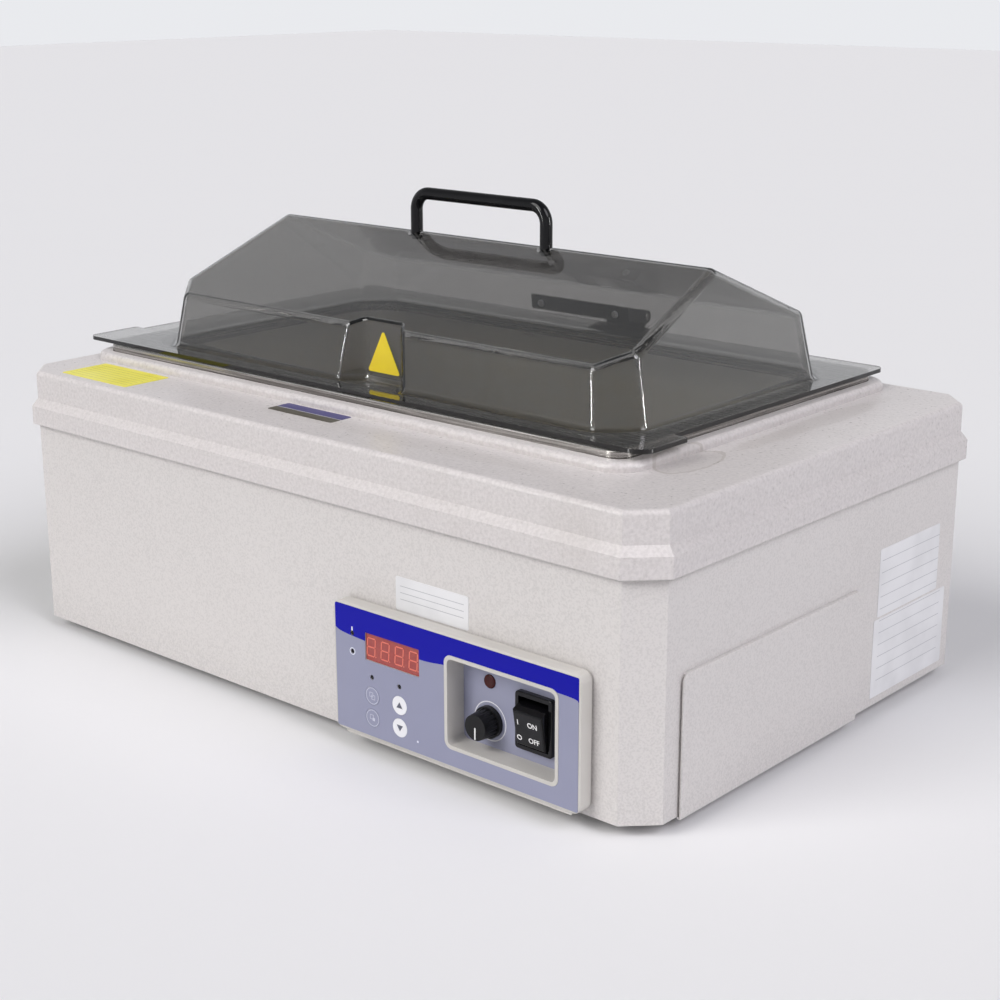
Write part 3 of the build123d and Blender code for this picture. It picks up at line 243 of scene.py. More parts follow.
# %% Camera
CAMERA_PLACE = (0.9172, -1.0194, 0.5245)
CAMERA_YAW = 41.26
CAMERA_PITCH = 16.46
CAMERA_ROLL = -0.1
CAMERA_SENSOR = 36.0
CAMERA_LENS = 66.3
camera_data = bpy.data.cameras.new("camera")
camera_data.sensor_width = CAMERA_SENSOR
camera_data.lens = CAMERA_LENS
camera = bpy.data.objects.new("camera", camera_data)
camera.location = CAMERA_PLACE
aim = Euler((math.radians(90 - CAMERA_PITCH), 0.0, math.radians(CAMERA_YAW)), "XYZ")
roll = Matrix.Rotation(math.radians(CAMERA_ROLL), 3, "Z")
camera.rotation_euler = (aim.to_matrix() @ roll).to_euler()
bpy.context.scene.collection.objects.link(camera)
bpy.context.scene.camera = camera
print("camera at", CAMERA_PLACE)

# %% [markdown]
# ## Floor
# The floor is a wide sheet of pale matt paper. It takes the bath's shadow and
# mirrors nothing, so no lamp leaves a bright spot on it.

# %% Floor
FLOOR_REACH = 9.0
floor_mesh = bpy.data.meshes.new("floor")
corners = [(-FLOOR_REACH, -FLOOR_REACH, 0), (FLOOR_REACH, -FLOOR_REACH, 0)]
corners += [(FLOOR_REACH, FLOOR_REACH, 0), (-FLOOR_REACH, FLOOR_REACH, 0)]
floor_mesh.from_pydata(corners, [], [(0, 1, 2, 3)])
floor = bpy.data.objects.new("floor", floor_mesh)
bpy.context.scene.collection.objects.link(floor)
floor_finish = Finish("floor_paper").set(Base_Color=(0.81, 0.81, 0.82, 1))
floor_finish.set(Roughness=1.0, Specular_IOR_Level=0.0)
floor_mesh.materials.append(floor_finish.material)
print("floor reaches", FLOOR_REACH, "m each way")

# %% [markdown]
# ## Studio lamps
# Two broad suns stand for the room's lamps: a warm one at the front left and
# above, and a weaker, cooler one at the right. A sun's light doesn't fall off,
# so a colour renders about as written all over the bath. Two thin upright
# strips stand low beside them. Only gloss sees them, so they light no paint and
# just draw bright lines along the lid's bends.

# %% Studio lamps
SUN_SPREAD = 38.0
STRIP_WIDTH = 0.10
STRIP_HEIGHT = 1.7
STRIP_POWER = 50.0


def hang(name, data, place, aim):
    """Lamp object at a place, turned the given way."""
    light = bpy.data.objects.new(name, data)
    light.location = place
    light.rotation_euler = aim.to_euler()
    bpy.context.scene.collection.objects.link(light)
    return light


def sun(name, toward, strength, colour):
    """Broad sun that stands in a direction seen from the object."""
    data = bpy.data.lights.new(name, "SUN")
    data.energy = strength
    data.angle = math.radians(SUN_SPREAD)
    data.color = colour
    hang(name, data, (0, 0, 0), Vector(toward).to_track_quat("Z", "Y"))


def strip(name, place):
    """Thin upright lamp that faces the bath, seen by gloss alone."""
    data = bpy.data.lights.new(name, "AREA")
    data.shape = "RECTANGLE"
    data.size = STRIP_WIDTH
    data.size_y = STRIP_HEIGHT
    data.energy = STRIP_POWER
    toward = Vector((0, 0, place[2])) - Vector(place)
    light = hang(name, data, place, toward.to_track_quat("-Z", "Y"))
    light.visible_diffuse = False


sun("key_sun", (-0.25, -0.76, 0.61), 1.97, (1.0, 0.985, 0.97))
sun("right_sun", (0.72, 0.0, 0.69), 1.62, (0.96, 0.94, 1.0))
strip("left_strip", (-1.2, -3.3, 0.85))
strip("right_strip", (3.3, 1.2, 0.85))
print("lamps:", len(bpy.data.lights))

# %% [markdown]
# ## World
# The world adds a soft fill. The camera and every mirror see a paler sky
# instead, which darkens toward the top, so that gloss has something to show.
# The Light Path node tells which rays are looking.

# %% World
SKY = (0.86, 0.87, 0.90, 1)
FILL_COLOUR = (0.97, 0.98, 1.0, 1)
FILL = 0.24
HORIZON = 0.95
OVERHEAD = 0.34
FADE_START = 0.10
FADE_END = 0.75
world = bpy.data.worlds.new("studio")
bpy.context.scene.world = world
world.use_nodes = True
world_nodes = world.node_tree.nodes
world_nodes.clear()
join = world.node_tree.links.new
world_out = world_nodes.new("ShaderNodeOutputWorld")
backdrop = world_nodes.new("ShaderNodeBackground")
fill = world_nodes.new("ShaderNodeBackground")
choice = world_nodes.new("ShaderNodeMixShader")
rays = world_nodes.new("ShaderNodeLightPath")
either = world_nodes.new("ShaderNodeMath")
either.operation = "MAXIMUM"
both = world_nodes.new("ShaderNodeMath")
both.operation = "MAXIMUM"
look = world_nodes.new("ShaderNodeTexCoord")
rise = world_nodes.new("ShaderNodeSeparateXYZ")
fade = world_nodes.new("ShaderNodeMapRange")
fade.inputs["From Min"].default_value = FADE_START
fade.inputs["From Max"].default_value = FADE_END
fade.inputs["To Min"].default_value = HORIZON
fade.inputs["To Max"].default_value = OVERHEAD
fill.inputs["Color"].default_value = FILL_COLOUR
fill.inputs["Strength"].default_value = FILL
backdrop.inputs["Color"].default_value = SKY
join(look.outputs["Generated"], rise.inputs[0])
join(rise.outputs["Z"], fade.inputs["Value"])
join(fade.outputs["Result"], backdrop.inputs["Strength"])
join(rays.outputs["Is Camera Ray"], either.inputs[0])
join(rays.outputs["Is Glossy Ray"], either.inputs[1])
join(either.outputs[0], both.inputs[0])
join(rays.outputs["Is Transmission Ray"], both.inputs[1])
join(both.outputs[0], choice.inputs[0])
join(fill.outputs[0], choice.inputs[1])
join(backdrop.outputs[0], choice.inputs[2])
join(choice.outputs[0], world_out.inputs[0])
bpy.context.scene.view_settings.view_transform = "Standard"
print("world nodes:", len(world_nodes))

# %% [markdown]
# ## Case paint
# The case is steel with a warm grey powder coat. Powder coat isn't smooth: it
# has a fine orange peel, a millimetre or two across, and a faint speckle. One
# noise makes both the bump and the colour. A mask on height makes the walls a
# little darker towards the bottom.

# %% Case paint
CASE_GREY = srgb(215, 211, 209)
SPECKLE = 0.15
PEEL_SIZE = 1.4 * MM
PEEL_DEPTH = 0.24 * MM
LOW_DARKENING_START = 12 * MM
LOW_DARKENING_END = 62 * MM

case_finish = Finish("case_paint_finish")
vector = case_finish.place()
z = case_finish.part(vector, "Z")
grain = case_finish.noise(vector, 1 / PEEL_SIZE)
cloud = case_finish.noise(vector, 7.0, detail=3.0)
tint = case_finish.spread(grain, 0.30, 0.70, 1 - SPECKLE, 1 + SPECKLE * 0.6)
# The walls are a little darker towards the bottom.
low = case_finish.spread(z + cloud * 0.03, LOW_DARKENING_START, LOW_DARKENING_END, 1.0, 0.0)
dull = 1 - low * 0.08 - case_finish.spread(cloud, 0.35, 0.75, 0.0, 0.035)
dark_grey = tuple(part * 0.35 for part in CASE_GREY[:3]) + (1,)
case_finish.set(Base_Color=case_finish.mix(1.0 - tint * dull, CASE_GREY, dark_grey))
case_finish.set(Roughness=case_finish.spread(grain, 0.2, 0.8, 0.30, 0.44))
case_finish.set(Normal=case_finish.bump(grain, 0.6, PEEL_DEPTH))
case_finish.on("case_shell", "side_access_cover")
print("case paint grain:", PEEL_SIZE, "m")

# %% [markdown]
# ## Cover enamel
# The top cover is the same grey in a coarser, pebbled skin. Bath water has
# splashed over its flat top: it left dull, faintly brown patches, and one
# brownish water mark beside the tank's front right corner. Each mark is noise,
# kept to its place by a mask on the distance from a point.

# %% Cover enamel
COVER_GREY = srgb(216, 211, 210)
SPECK_GREY = srgb(164, 159, 157)
DRIED = srgb(146, 136, 122)
POOL = (256 * MM, -80 * MM, 17 * MM, 36 * MM)
STREAK = (262 * MM, 60 * MM, 12 * MM, 120 * MM)
DRIP = (100 * MM, -160 * MM, 140 * MM, 12 * MM)

cover_finish = Finish("cover_enamel_finish")
vector = cover_finish.place()
x, y, z = [cover_finish.part(vector, axis) for axis in "XYZ"]
pebble = cover_finish.noise(vector, 420.0, detail=3.0, roughness=0.6)
swirl = cover_finish.noise(vector, 14.0, detail=4.0, roughness=0.6)
cover_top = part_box("top_cover")[1].z
flat_top = cover_finish.spread(z, cover_top - 12 * MM, cover_top - 8 * MM)


def oval(place_x, place_y, reach_x, reach_y):
    """Distance from a point on the cover, which is 1 on an oval round it."""
    across = (x - place_x) / reach_x
    along = (y - place_y) / reach_y
    return (across * across + along * along).root()


def patch(spot, ragged):
    """Soft oval patch with a ragged rim."""
    distance = oval(*spot) + (swirl - 0.5) * ragged
    return cover_finish.spread(distance, 0.75, 1.05, 1.0, 0.0)


pool = oval(*POOL) + (swirl - 0.5) * 0.9
stain = (pool < 1.0) * (0.30 + (pool > 0.90) * 0.55)
marks = stain * 0.42 + patch(STREAK, 1.6) * 0.16 + patch(DRIP, 2.0) * 0.10
scuffs = cover_finish.spread(swirl, 0.52, 0.80, 0.0, 0.10)
soiled = (marks * flat_top + scuffs).limit()
colour = cover_finish.mix(soiled, COVER_GREY, DRIED)
speck = cover_finish.spread(pebble, 0.34, 0.66, 0.0, 0.26)
cover_finish.set(Base_Color=cover_finish.mix(speck, colour, SPECK_GREY))
cover_finish.set(Roughness=cover_finish.spread(pebble, 0.2, 0.8, 0.38, 0.26))
cover_finish.set(Normal=cover_finish.bump(pebble, 0.7, 0.40 * MM))
cover_finish.on("top_cover")
print("cover's flat top at", round(cover_top, 4))

# %% [markdown]
# ## Stainless steel
# The tank is pressed from stainless sheet. Its grain runs along the sheet, so
# the noise is stretched along X. Hard water has dulled the walls below the
# rim, which shows as a rougher, browner grey. The rolled side of the rim gets a
# painted reflection: a darker grey with fine painted light lines, as if it
# mirrored a dark room. A metal's colour is its reflection, so roughness does
# most of the work.

# %% Stainless steel
CLEAN_STEEL = (0.66, 0.65, 0.62, 1)
LIMED_STEEL = (0.62, 0.57, 0.45, 1)
RIM_REFLECTION_DARK = (0.17, 0.16, 0.15, 1)
RIM_REFLECTION_PALE = (0.42, 0.40, 0.38, 1)
RIM_DEPTH = 10 * MM

tank_finish = Finish("stainless_finish")
vector = tank_finish.place()
z = tank_finish.part(vector, "Z")
tank_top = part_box("tank")[1].z
grain = tank_finish.noise(vector, 1.0, detail=3.0, stretch=(30.0, 900.0, 900.0))
lime = tank_finish.noise(vector, 24.0, detail=5.0, roughness=0.65)
below = tank_finish.spread(z, tank_top - 45 * MM, tank_top - 4 * MM, 1.0, 0.0)
dull = (below * tank_finish.spread(lime, 0.25, 0.75, 0.45, 1.0)).limit()
# Painted reflection: the rim's side is darker, with fine pale lines.
rim_side = (z > tank_top - RIM_DEPTH) * (tank_finish.uprightness() < 0.6)
level = tank_finish.noise(vector, 1.0, stretch=(12.0, 12.0, 1100.0))
lines = tank_finish.spread(level, 0.35, 0.65)
painted_rim_reflection = tank_finish.mix(lines, RIM_REFLECTION_DARK, RIM_REFLECTION_PALE)
steel = tank_finish.mix(dull, CLEAN_STEEL, LIMED_STEEL)
steel = tank_finish.mix(rim_side, steel, painted_rim_reflection)
tank_finish.set(Base_Color=steel, Metallic=1.0 - dull * 0.45)
tank_finish.set(Roughness=0.22 + dull * 0.32 + grain * 0.10)
tank_finish.set(Normal=tank_finish.bump(grain, 0.25, 0.05 * MM))
tank_finish.on("tank", "diffuser_shelf", "hinge_pin")
print("tank rim at", round(tank_top, 4))

# %% [markdown]
# ## Smoked lid
# The lid is one vacuum-formed sheet of smoked polycarbonate, so it is real
# glass with the plastic's index: its bends then gather light into bright lines
# by themselves. One wall lets about half of the light through. The sheet's cut
# edge is seen along its whole width and looks nearly black, so a mask on
# height and on the face's direction darkens the rim of the flange. That
# direction is turned into the lid's own frame, so the rim stays the same when
# the lid opens. Fine rubs from wiping make the gloss uneven.

# %% Smoked lid
SMOKE = (0.47, 0.465, 0.455, 1)
CUT_EDGE = (0.004, 0.004, 0.006, 1)
FLANGE = 3.0 * MM

lid_finish = Finish("smoked_lid_finish")
vector = lid_finish.place()
z = lid_finish.part(vector, "Z")
flange_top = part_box("lid_shell")[0].z + FLANGE
edge = (z < flange_top - 0.05 * MM) * (lid_finish.uprightness() < 0.5)
rub = lid_finish.noise(vector, 9.0, 5.0, 0.7, stretch=(1.0, 3.0, 3.0))
lid_finish.set(Base_Color=lid_finish.mix(edge, SMOKE, CUT_EDGE))
lid_finish.set(Roughness=lid_finish.spread(rub, 0.3, 0.8, 0.0, 0.035))
lid_finish.set(IOR=1.585, Transmission_Weight=1.0)
lid_finish.on("lid_shell")
print("lid wall passes", SMOKE[0])

# %% [markdown]
# ## Black parts
# The handle is a bent tube in glossy black, and the rocker and the feet are
# moulded. Deep black comes from a low share of mirrored light, and a little
# noise in the roughness keeps it from looking like a hole. The moulded parts
# have a fine spark-eroded grain.


# %% Black parts
def moulded(name, colour, rough, grain_size, depth, mirror=0.25):
    """Moulded plastic with a fine even grain and a share of mirrored light."""
    finish = Finish(name)
    vector = finish.place()
    grain = finish.noise(vector, 1 / grain_size)
    wear = finish.noise(vector, 40.0, detail=4.0)
    lighter = tuple(min(1.0, part * 1.5 + 0.004) for part in colour[:3]) + (1,)
    worn = finish.spread(wear, 0.45, 0.8, 0.0, 0.5)
    finish.set(Base_Color=finish.mix(worn, colour, lighter))
    finish.set(Roughness=finish.spread(wear, 0.3, 0.7, rough * 0.85, rough * 1.2))
    finish.set(Normal=finish.bump(grain, 0.3, depth), Specular_IOR_Level=mirror)
    return finish


DEEP_BLACK = (0.003, 0.003, 0.004, 1)
SWITCH_BLACK = (0.004, 0.004, 0.005, 1)
BLACK = (0.008, 0.008, 0.009, 1)
RUBBER = (0.02, 0.02, 0.02, 1)
moulded("handle_finish", DEEP_BLACK, 0.12, 3.0 * MM, 0.02 * MM).on("lid_handle")
black = moulded("black_finish", BLACK, 0.34, 0.5 * MM, 0.03 * MM)
black.on("hinge_plate", "hinge_base", "power_inlet", "handle_screws")
black.on("key_switches", "display_module", "heater_relay")
switch = moulded("switch_finish", SWITCH_BLACK, 0.12, 0.6 * MM, 0.01 * MM, 0.3)
switch.on("power_rocker", "rocker_switch_body")
rubber = moulded("rubber_finish", RUBBER, 0.75, 0.8 * MM, 0.06 * MM)
rubber.on("foot_front_left", "foot_front_right", "foot_rear_left", "foot_rear_right")
print("black parts ready")

# %% [markdown]
# ## Knob
# The knob has a fluted grip and one white line from its middle down, which
# shows the setting. The line is the solid's own raised bar, so a mask on depth
# is enough to paint it.

# %% Knob
LINE_DEPTH = 0.12 * MM
LINE_WHITE = (0.85, 0.85, 0.85, 1)

knob_finish = Finish("knob_finish")
vector = knob_finish.place()
y = knob_finish.part(vector, "Y")
knob_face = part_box("safety_knob")[0].y
grain = knob_finish.noise(vector, 1600.0)
line = y < knob_face + LINE_DEPTH
knob_finish.set(Base_Color=knob_finish.mix(line, BLACK, LINE_WHITE))
knob_finish.set(Roughness=0.28 + grain * 0.12, Specular_IOR_Level=0.2)
knob_finish.set(Normal=knob_finish.bump(grain, 0.3, 0.03 * MM))
knob_finish.on("safety_knob")
print("knob face at", round(knob_face, 4))

# %% [markdown]
# ## Bezel
# The bezel is a beige grey moulding. The floor of its pocket is covered with
# the same film as the panel, and a fine white ring is printed round the knob.
# Both are masks: one on depth, one on the distance from the knob's axis.

# %% Bezel
BEIGE = srgb(201, 198, 193)
RUBBED_BEIGE = srgb(180, 177, 166)
FILM = srgb(148, 150, 173)
RING_WHITE = (0.80, 0.80, 0.84, 1)
RING_RADIUS = 13.4 * MM
RING_LINE = 0.40 * MM
FLOOR_DEPTH = 0.15 * MM

bezel_finish = Finish("bezel_finish")
vector = bezel_finish.place()
x, y, z = [bezel_finish.part(vector, axis) for axis in "XYZ"]
knob_axis = middle("safety_knob")
grain = bezel_finish.noise(vector, 1100.0)
rub = bezel_finish.noise(vector, 30.0, detail=4.0)
on_floor = abs(y - pocket_face) < FLOOR_DEPTH
radius = from_point(x, z, knob_axis.x, knob_axis.z)
ring = abs(radius - RING_RADIUS) < RING_LINE
floor_colour = bezel_finish.mix(ring, FILM, RING_WHITE)
rubbed = bezel_finish.spread(rub, 0.4, 0.8, 0.0, 0.25)
beige = bezel_finish.mix(rubbed, BEIGE, RUBBED_BEIGE)
bezel_finish.set(Base_Color=bezel_finish.mix(on_floor, beige, floor_colour))
bezel_finish.set(Roughness=0.42 + grain * 0.14)
bezel_finish.set(Normal=bezel_finish.bump(grain, 0.3, 0.04 * MM))
bezel_finish.on("front_bezel")
print("ring radius:", RING_RADIUS, "m")

# %% [markdown]
# ## Panel film
# The panel's film is grey blue with a deep blue band along its top. The
# band's lower edge is a slow curve: it dips over the keys and rises to the
# right. A Float Curve node holds that edge, with the place along the panel as
# its input and the height as its output. A ring and a post mark the two lamps
# at the left, and one white dot sits low.

# %% Panel film
BAND = srgb(2, 2, 158)
RUBBED_FILM = srgb(158, 160, 178)
ICON_WHITE = srgb(222, 224, 236)
BAND_LOW = 83.0 * MM
BAND_SPAN = 12.0 * MM
BAND_EDGE = [(0.0, 0.40), (0.12, 0.06), (0.36, 0.0)]
BAND_EDGE += [(0.48, 0.17), (0.93, 0.70), (1.0, 0.53)]
ICON_IN = 16.0 * MM
ICON_RADIUS = 2.3 * MM
ICON_LINE = 0.35 * MM
ICON_RISE = 57.4 * MM
POST_RISE = 73.6 * MM
DOT_IN = 76.1 * MM
DOT_RISE = 8.2 * MM
DOT_RADIUS = 0.8 * MM


def film_finish(name):
    """Matt film colour with a fine grain and soft rubs."""
    finish = Finish(name)
    vector = finish.place()
    grain = finish.noise(vector, 1500.0)
    rub = finish.noise(vector, 26.0, detail=4.0)
    rubbed = finish.spread(rub, 0.4, 0.8, 0.0, 0.16)
    finish.set(Roughness=finish.spread(rub, 0.3, 0.7, 0.34, 0.46))
    finish.set(Normal=finish.bump(grain, 0.2, 0.02 * MM), Specular_IOR_Level=0.15)
    return finish, vector, finish.mix(rubbed, FILM, RUBBED_FILM)


overlay_finish, vector, base = film_finish("overlay_finish")
x = overlay_finish.part(vector, "X")
z = overlay_finish.part(vector, "Z")
along = ((x - overlay_low.x) / (overlay_high.x - overlay_low.x)).limit()
band_edge = overlay_finish.node("FloatCurve", {}, {"Value": along})
mapping = band_edge.socket.node.mapping
curve = mapping.curves[0]
curve.points[0].location = BAND_EDGE[0]
curve.points[-1].location = BAND_EDGE[-1]
for px, py in BAND_EDGE[1:-1]:
    curve.points.new(px, py)
mapping.update()
band = z > band_edge * BAND_SPAN + BAND_LOW
icon_x = overlay_low.x + ICON_IN
icon_radius = from_point(x, z, icon_x, overlay_low.z + ICON_RISE)
icon_ring = abs(icon_radius - ICON_RADIUS) < ICON_LINE
post_height = abs(z - overlay_low.z - POST_RISE)
icon_post = (abs(x - icon_x) < 0.6 * MM) * (post_height < 1.5 * MM)
dot_radius = from_point(x, z, overlay_low.x + DOT_IN, overlay_low.z + DOT_RISE)
white = icon_ring.most(icon_post).most(dot_radius < DOT_RADIUS)
film = overlay_finish.mix(band, base, BAND)
overlay_finish.set(Base_Color=overlay_finish.mix(white, film, ICON_WHITE))
overlay_finish.on("panel_overlay")
print("band edge points:", len(BAND_EDGE))

# %% [markdown]
# ## Keys
# Two keys are white with a grey arrow, and two are film coloured with a pale
# outline and a small pale sign. A key moves with its print, so the print is
# made from the key's own middle, with masks: a circle for the outline and
# three straight lines for an arrow.

# %% Keys
KEY_WHITE = srgb(236, 236, 240)
ARROW_GREY = srgb(96, 98, 112)
OUTLINE_GREY = srgb(198, 200, 214)
OUTLINE_RADIUS = 5.7 * MM


def key_print(name, node):
    """Film finish measured from the middle of one key."""
    finish, vector, base = film_finish(name)
    spot = middle(node)
    right = finish.part(vector, "X") - spot.x
    above = finish.part(vector, "Z") - spot.z
    return finish, base, right, above


def arrow_key(node, up):
    """White key with a grey arrow."""
    finish, _, right, above = key_print(node + "_finish", node)
    height = above * (1.0 if up else -1.0)
    inside = (height > -1.9 * MM) * (abs(right) * 1.55 + height < 2.5 * MM)
    finish.set(Base_Color=finish.mix(inside, KEY_WHITE, ARROW_GREY))
    finish.on(node)


def outline_key(node, signs):
    """Film coloured key with a pale outline and small squares."""
    finish, base, right, above = key_print(node + "_finish", node)
    radius = (right * right + above * above).root()
    mark = abs(radius - OUTLINE_RADIUS) < 0.22 * MM
    for sign_x, sign_z, half, solid in signs:
        reach = abs(right - sign_x * MM).most(abs(above - sign_z * MM))
        rim = abs(reach - half * MM) < 0.18 * MM
        mark = mark.most(reach < half * MM if solid else rim)
    finish.set(Base_Color=finish.mix(mark, base, OUTLINE_GREY))
    finish.on(node)


arrow_key("up_key", True)
arrow_key("down_key", False)
outline_key("menu_key", [(-0.9, 0.8, 1.5, False), (0.9, -0.9, 1.5, False)])
outline_key("set_key", [(-0.8, 0.7, 1.5, False), (1.0, -0.8, 1.1, True)])
print("key outline radius:", OUTLINE_RADIUS, "m")

# %% [markdown]
# ## Display
# Behind the red window stand four seven-segment digits, and every segment
# shows as a paler bar even when the window is bright. One digit is drawn as a
# flat mesh of hexagonal bars. Geometry Nodes then repeat it along the window,
# so the number of digits and their pitch are inputs.

# %% Display window
WINDOW_RED = srgb(148, 50, 45)
WINDOW_PALE = srgb(158, 58, 50)
DIGIT_RED = srgb(206, 102, 84)
DIGIT_PALE = srgb(216, 114, 94)

window_finish = Finish("display_finish")
dots = window_finish.noise(window_finish.place(), 420.0, detail=1.0)
shown = window_finish.spread(dots, 0.3, 0.7)
red = window_finish.mix(shown, WINDOW_RED, WINDOW_PALE)
window_finish.set(Base_Color=red, Roughness=0.18 + dots * 0.08, Coat_Weight=0.5)
# A faint emission paints a glow into the window, which is no lamp.
window_finish.set(Emission_Color=red, Emission_Strength=0.06)
window_finish.on("display_window")

digit_finish = Finish("digit_finish")
glow = digit_finish.noise(digit_finish.place(), 500.0, detail=1.0)
pale_red = digit_finish.mix(glow, DIGIT_RED, DIGIT_PALE)
digit_finish.set(Base_Color=pale_red, Roughness=0.4)
# A faint emission paints a glow into the unlit digits.
digit_finish.set(Emission_Color=pale_red, Emission_Strength=0.1)
print("window and digit reds ready")


# %% One digit
def bar(mesh, ax, az, bx, bz, width):
    """Flat bar with pointed ends between two points of a digit."""
    start = Vector((ax, 0, az))
    end = Vector((bx, 0, bz))
    along = end - start
    reach = along.normalized() * width / 2
    side = Vector((-along.z, 0, along.x)).normalized() * width / 2
    ring = [start, start + reach - side, end - reach - side]
    ring += [end, end - reach + side, start + reach + side]
    mesh.faces.new([mesh.verts.new(point) for point in ring])


def digit_mesh(width, height, line):
    """One digit with all its bars and its point, around the origin."""
    mesh = bmesh.new()
    slant = width * 0.12
    gap = line * 0.18
    left, right, top, low = -width / 2, width / 2, height / 2, -height / 2

    def at(px, pz):
        return px + slant * pz / height, pz

    for side in (left, right):
        for foot, head in ((low, 0), (0, top)):
            bar(mesh, *at(side, foot + gap), *at(side, head - gap), line)
    for level in (low, 0, top):
        bar(mesh, *at(left + gap, level), *at(right - gap, level), line)
    px, pz = at(right + line * 1.1, low)
    half = line * 0.5
    turns = ((-1, -1), (1, -1), (1, 1), (-1, 1))
    square = [(px + half * turn_x, 0, pz + half * turn_z) for turn_x, turn_z in turns]
    mesh.faces.new([mesh.verts.new(point) for point in square])
    data = bpy.data.meshes.new("digit")
    mesh.to_mesh(data)
    mesh.free()
    return data


DIGIT_WIDTH = 7.2 * MM
DIGIT_HEIGHT = 12.6 * MM
DIGIT_LINE = 0.95 * MM
one_digit = bpy.data.objects.new(
    "one_digit", digit_mesh(DIGIT_WIDTH, DIGIT_HEIGHT, DIGIT_LINE))
bpy.context.scene.collection.objects.link(one_digit)
print("bars and point of a digit:", len(one_digit.data.polygons))


# %% Repeat the digit with Geometry Nodes
def row_tree(name, count, pitch):
    """Node tree that repeats the object's own mesh in a row along X."""
    tree = bpy.data.node_groups.new(name, "GeometryNodeTree")

    def socket(label, kind, way="INPUT"):
        return tree.interface.new_socket(
            name=label, in_out=way, socket_type="NodeSocket" + kind)

    socket("Geometry", "Geometry")
    sockets = {}
    for label, kind, value in (("Count", "Int", count), ("Pitch", "Float", pitch)):
        made = socket(label, kind)
        made.default_value = value
        sockets[label] = made.identifier
    sockets["Finish"] = socket("Finish", "Material").identifier
    socket("Geometry", "Geometry", "OUTPUT")
    add = tree.nodes.new
    start = add("NodeGroupInput")
    end = add("NodeGroupOutput")
    row = add("GeometryNodeMeshLine")
    offset = add("ShaderNodeCombineXYZ")
    first = add("ShaderNodeCombineXYZ")
    spaces = add("ShaderNodeMath")
    spaces.operation = "SUBTRACT"
    spaces.inputs[1].default_value = 1.0
    half = add("ShaderNodeMath")
    half.operation = "MULTIPLY"
    half.inputs[1].default_value = -0.5
    shift = add("ShaderNodeMath")
    shift.operation = "MULTIPLY"
    copies = add("GeometryNodeInstanceOnPoints")
    solid = add("GeometryNodeRealizeInstances")
    paint = add("GeometryNodeSetMaterial")
    link = tree.links.new
    link(start.outputs["Count"], row.inputs["Count"])
    link(start.outputs["Count"], spaces.inputs[0])
    link(spaces.outputs[0], half.inputs[0])
    link(half.outputs[0], shift.inputs[0])
    link(start.outputs["Pitch"], shift.inputs[1])
    link(start.outputs["Pitch"], offset.inputs["X"])
    link(shift.outputs[0], first.inputs["X"])
    link(first.outputs[0], row.inputs["Start Location"])
    link(offset.outputs[0], row.inputs["Offset"])
    link(row.outputs[0], copies.inputs["Points"])
    link(start.outputs["Geometry"], copies.inputs["Instance"])
    link(copies.outputs[0], solid.inputs[0])
    link(solid.outputs[0], paint.inputs["Geometry"])
    link(start.outputs["Finish"], paint.inputs["Material"])
    link(paint.outputs[0], end.inputs[0])
    return tree, sockets


def settle(source, name, move):
    """Plain mesh piece from an object and its modifiers, moved by a matrix."""
    bpy.context.view_layer.update()
    graph = bpy.context.evaluated_depsgraph_get()
    mesh = bpy.data.meshes.new_from_object(source.evaluated_get(graph))
    mesh.transform(move)
    piece = bpy.data.objects.new(name, mesh)
    bpy.context.scene.collection.objects.link(piece)
    bpy.data.objects.remove(source)
    return piece


PRINT_GAP = 0.05 * MM
DIGITS = 4
DIGIT_PITCH = 13.0 * MM
DIGITS_LEFT = 0.6 * MM
digit_row, inputs = row_tree("digit_row", DIGITS, DIGIT_PITCH)
repeat = one_digit.modifiers.new("repeat", "NODES")
repeat.node_group = digit_row
repeat[inputs["Count"]] = DIGITS
repeat[inputs["Pitch"]] = DIGIT_PITCH
repeat[inputs["Finish"]] = digit_finish.material
digits_place = middle("display_window")
digits_place.x -= DIGITS_LEFT
digits_place.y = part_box("display_window")[0].y - PRINT_GAP
display_digits = settle(
    one_digit, "display_digits", Matrix.Translation(digits_place))
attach(display_digits, "bath")
print("digit faces:", len(display_digits.data.polygons))

# %% [markdown]
# ## Lamps, lens and small metal
# The status lamps and the safety lens are dark until they light: the lamps are
# small black lenses and the safety lens is a glossy deep red. Screws, studs and
# the inner plates are zinc plated, which is a little uneven and bluish.


# %% Lamps, lens and small metal
def lens(name, deep, shallow):
    """Glossy lens with a deeper colour in its cloudy parts."""
    finish = Finish(name)
    cloud = finish.noise(finish.place(), 300.0)
    finish.set(Base_Color=finish.mix(cloud, deep, shallow))
    finish.set(Roughness=0.10 + cloud * 0.08, Specular_IOR_Level=0.25)
    return finish


def plated(name, colour, tint, rough, metallic=1.0, scale=60.0):
    """Metal or board with a cloudy tint and uneven gloss."""
    finish = Finish(name)
    vector = finish.place()
    cloud = finish.noise(vector, scale, detail=4.0)
    fine = finish.noise(vector, scale * 14)
    finish.set(Base_Color=finish.mix(cloud, colour, tint), Metallic=metallic)
    finish.set(Roughness=finish.spread(cloud, 0.3, 0.7, rough * 0.8, rough * 1.25))
    finish.set(Normal=finish.bump(fine, 0.25, 0.03 * MM))
    return finish


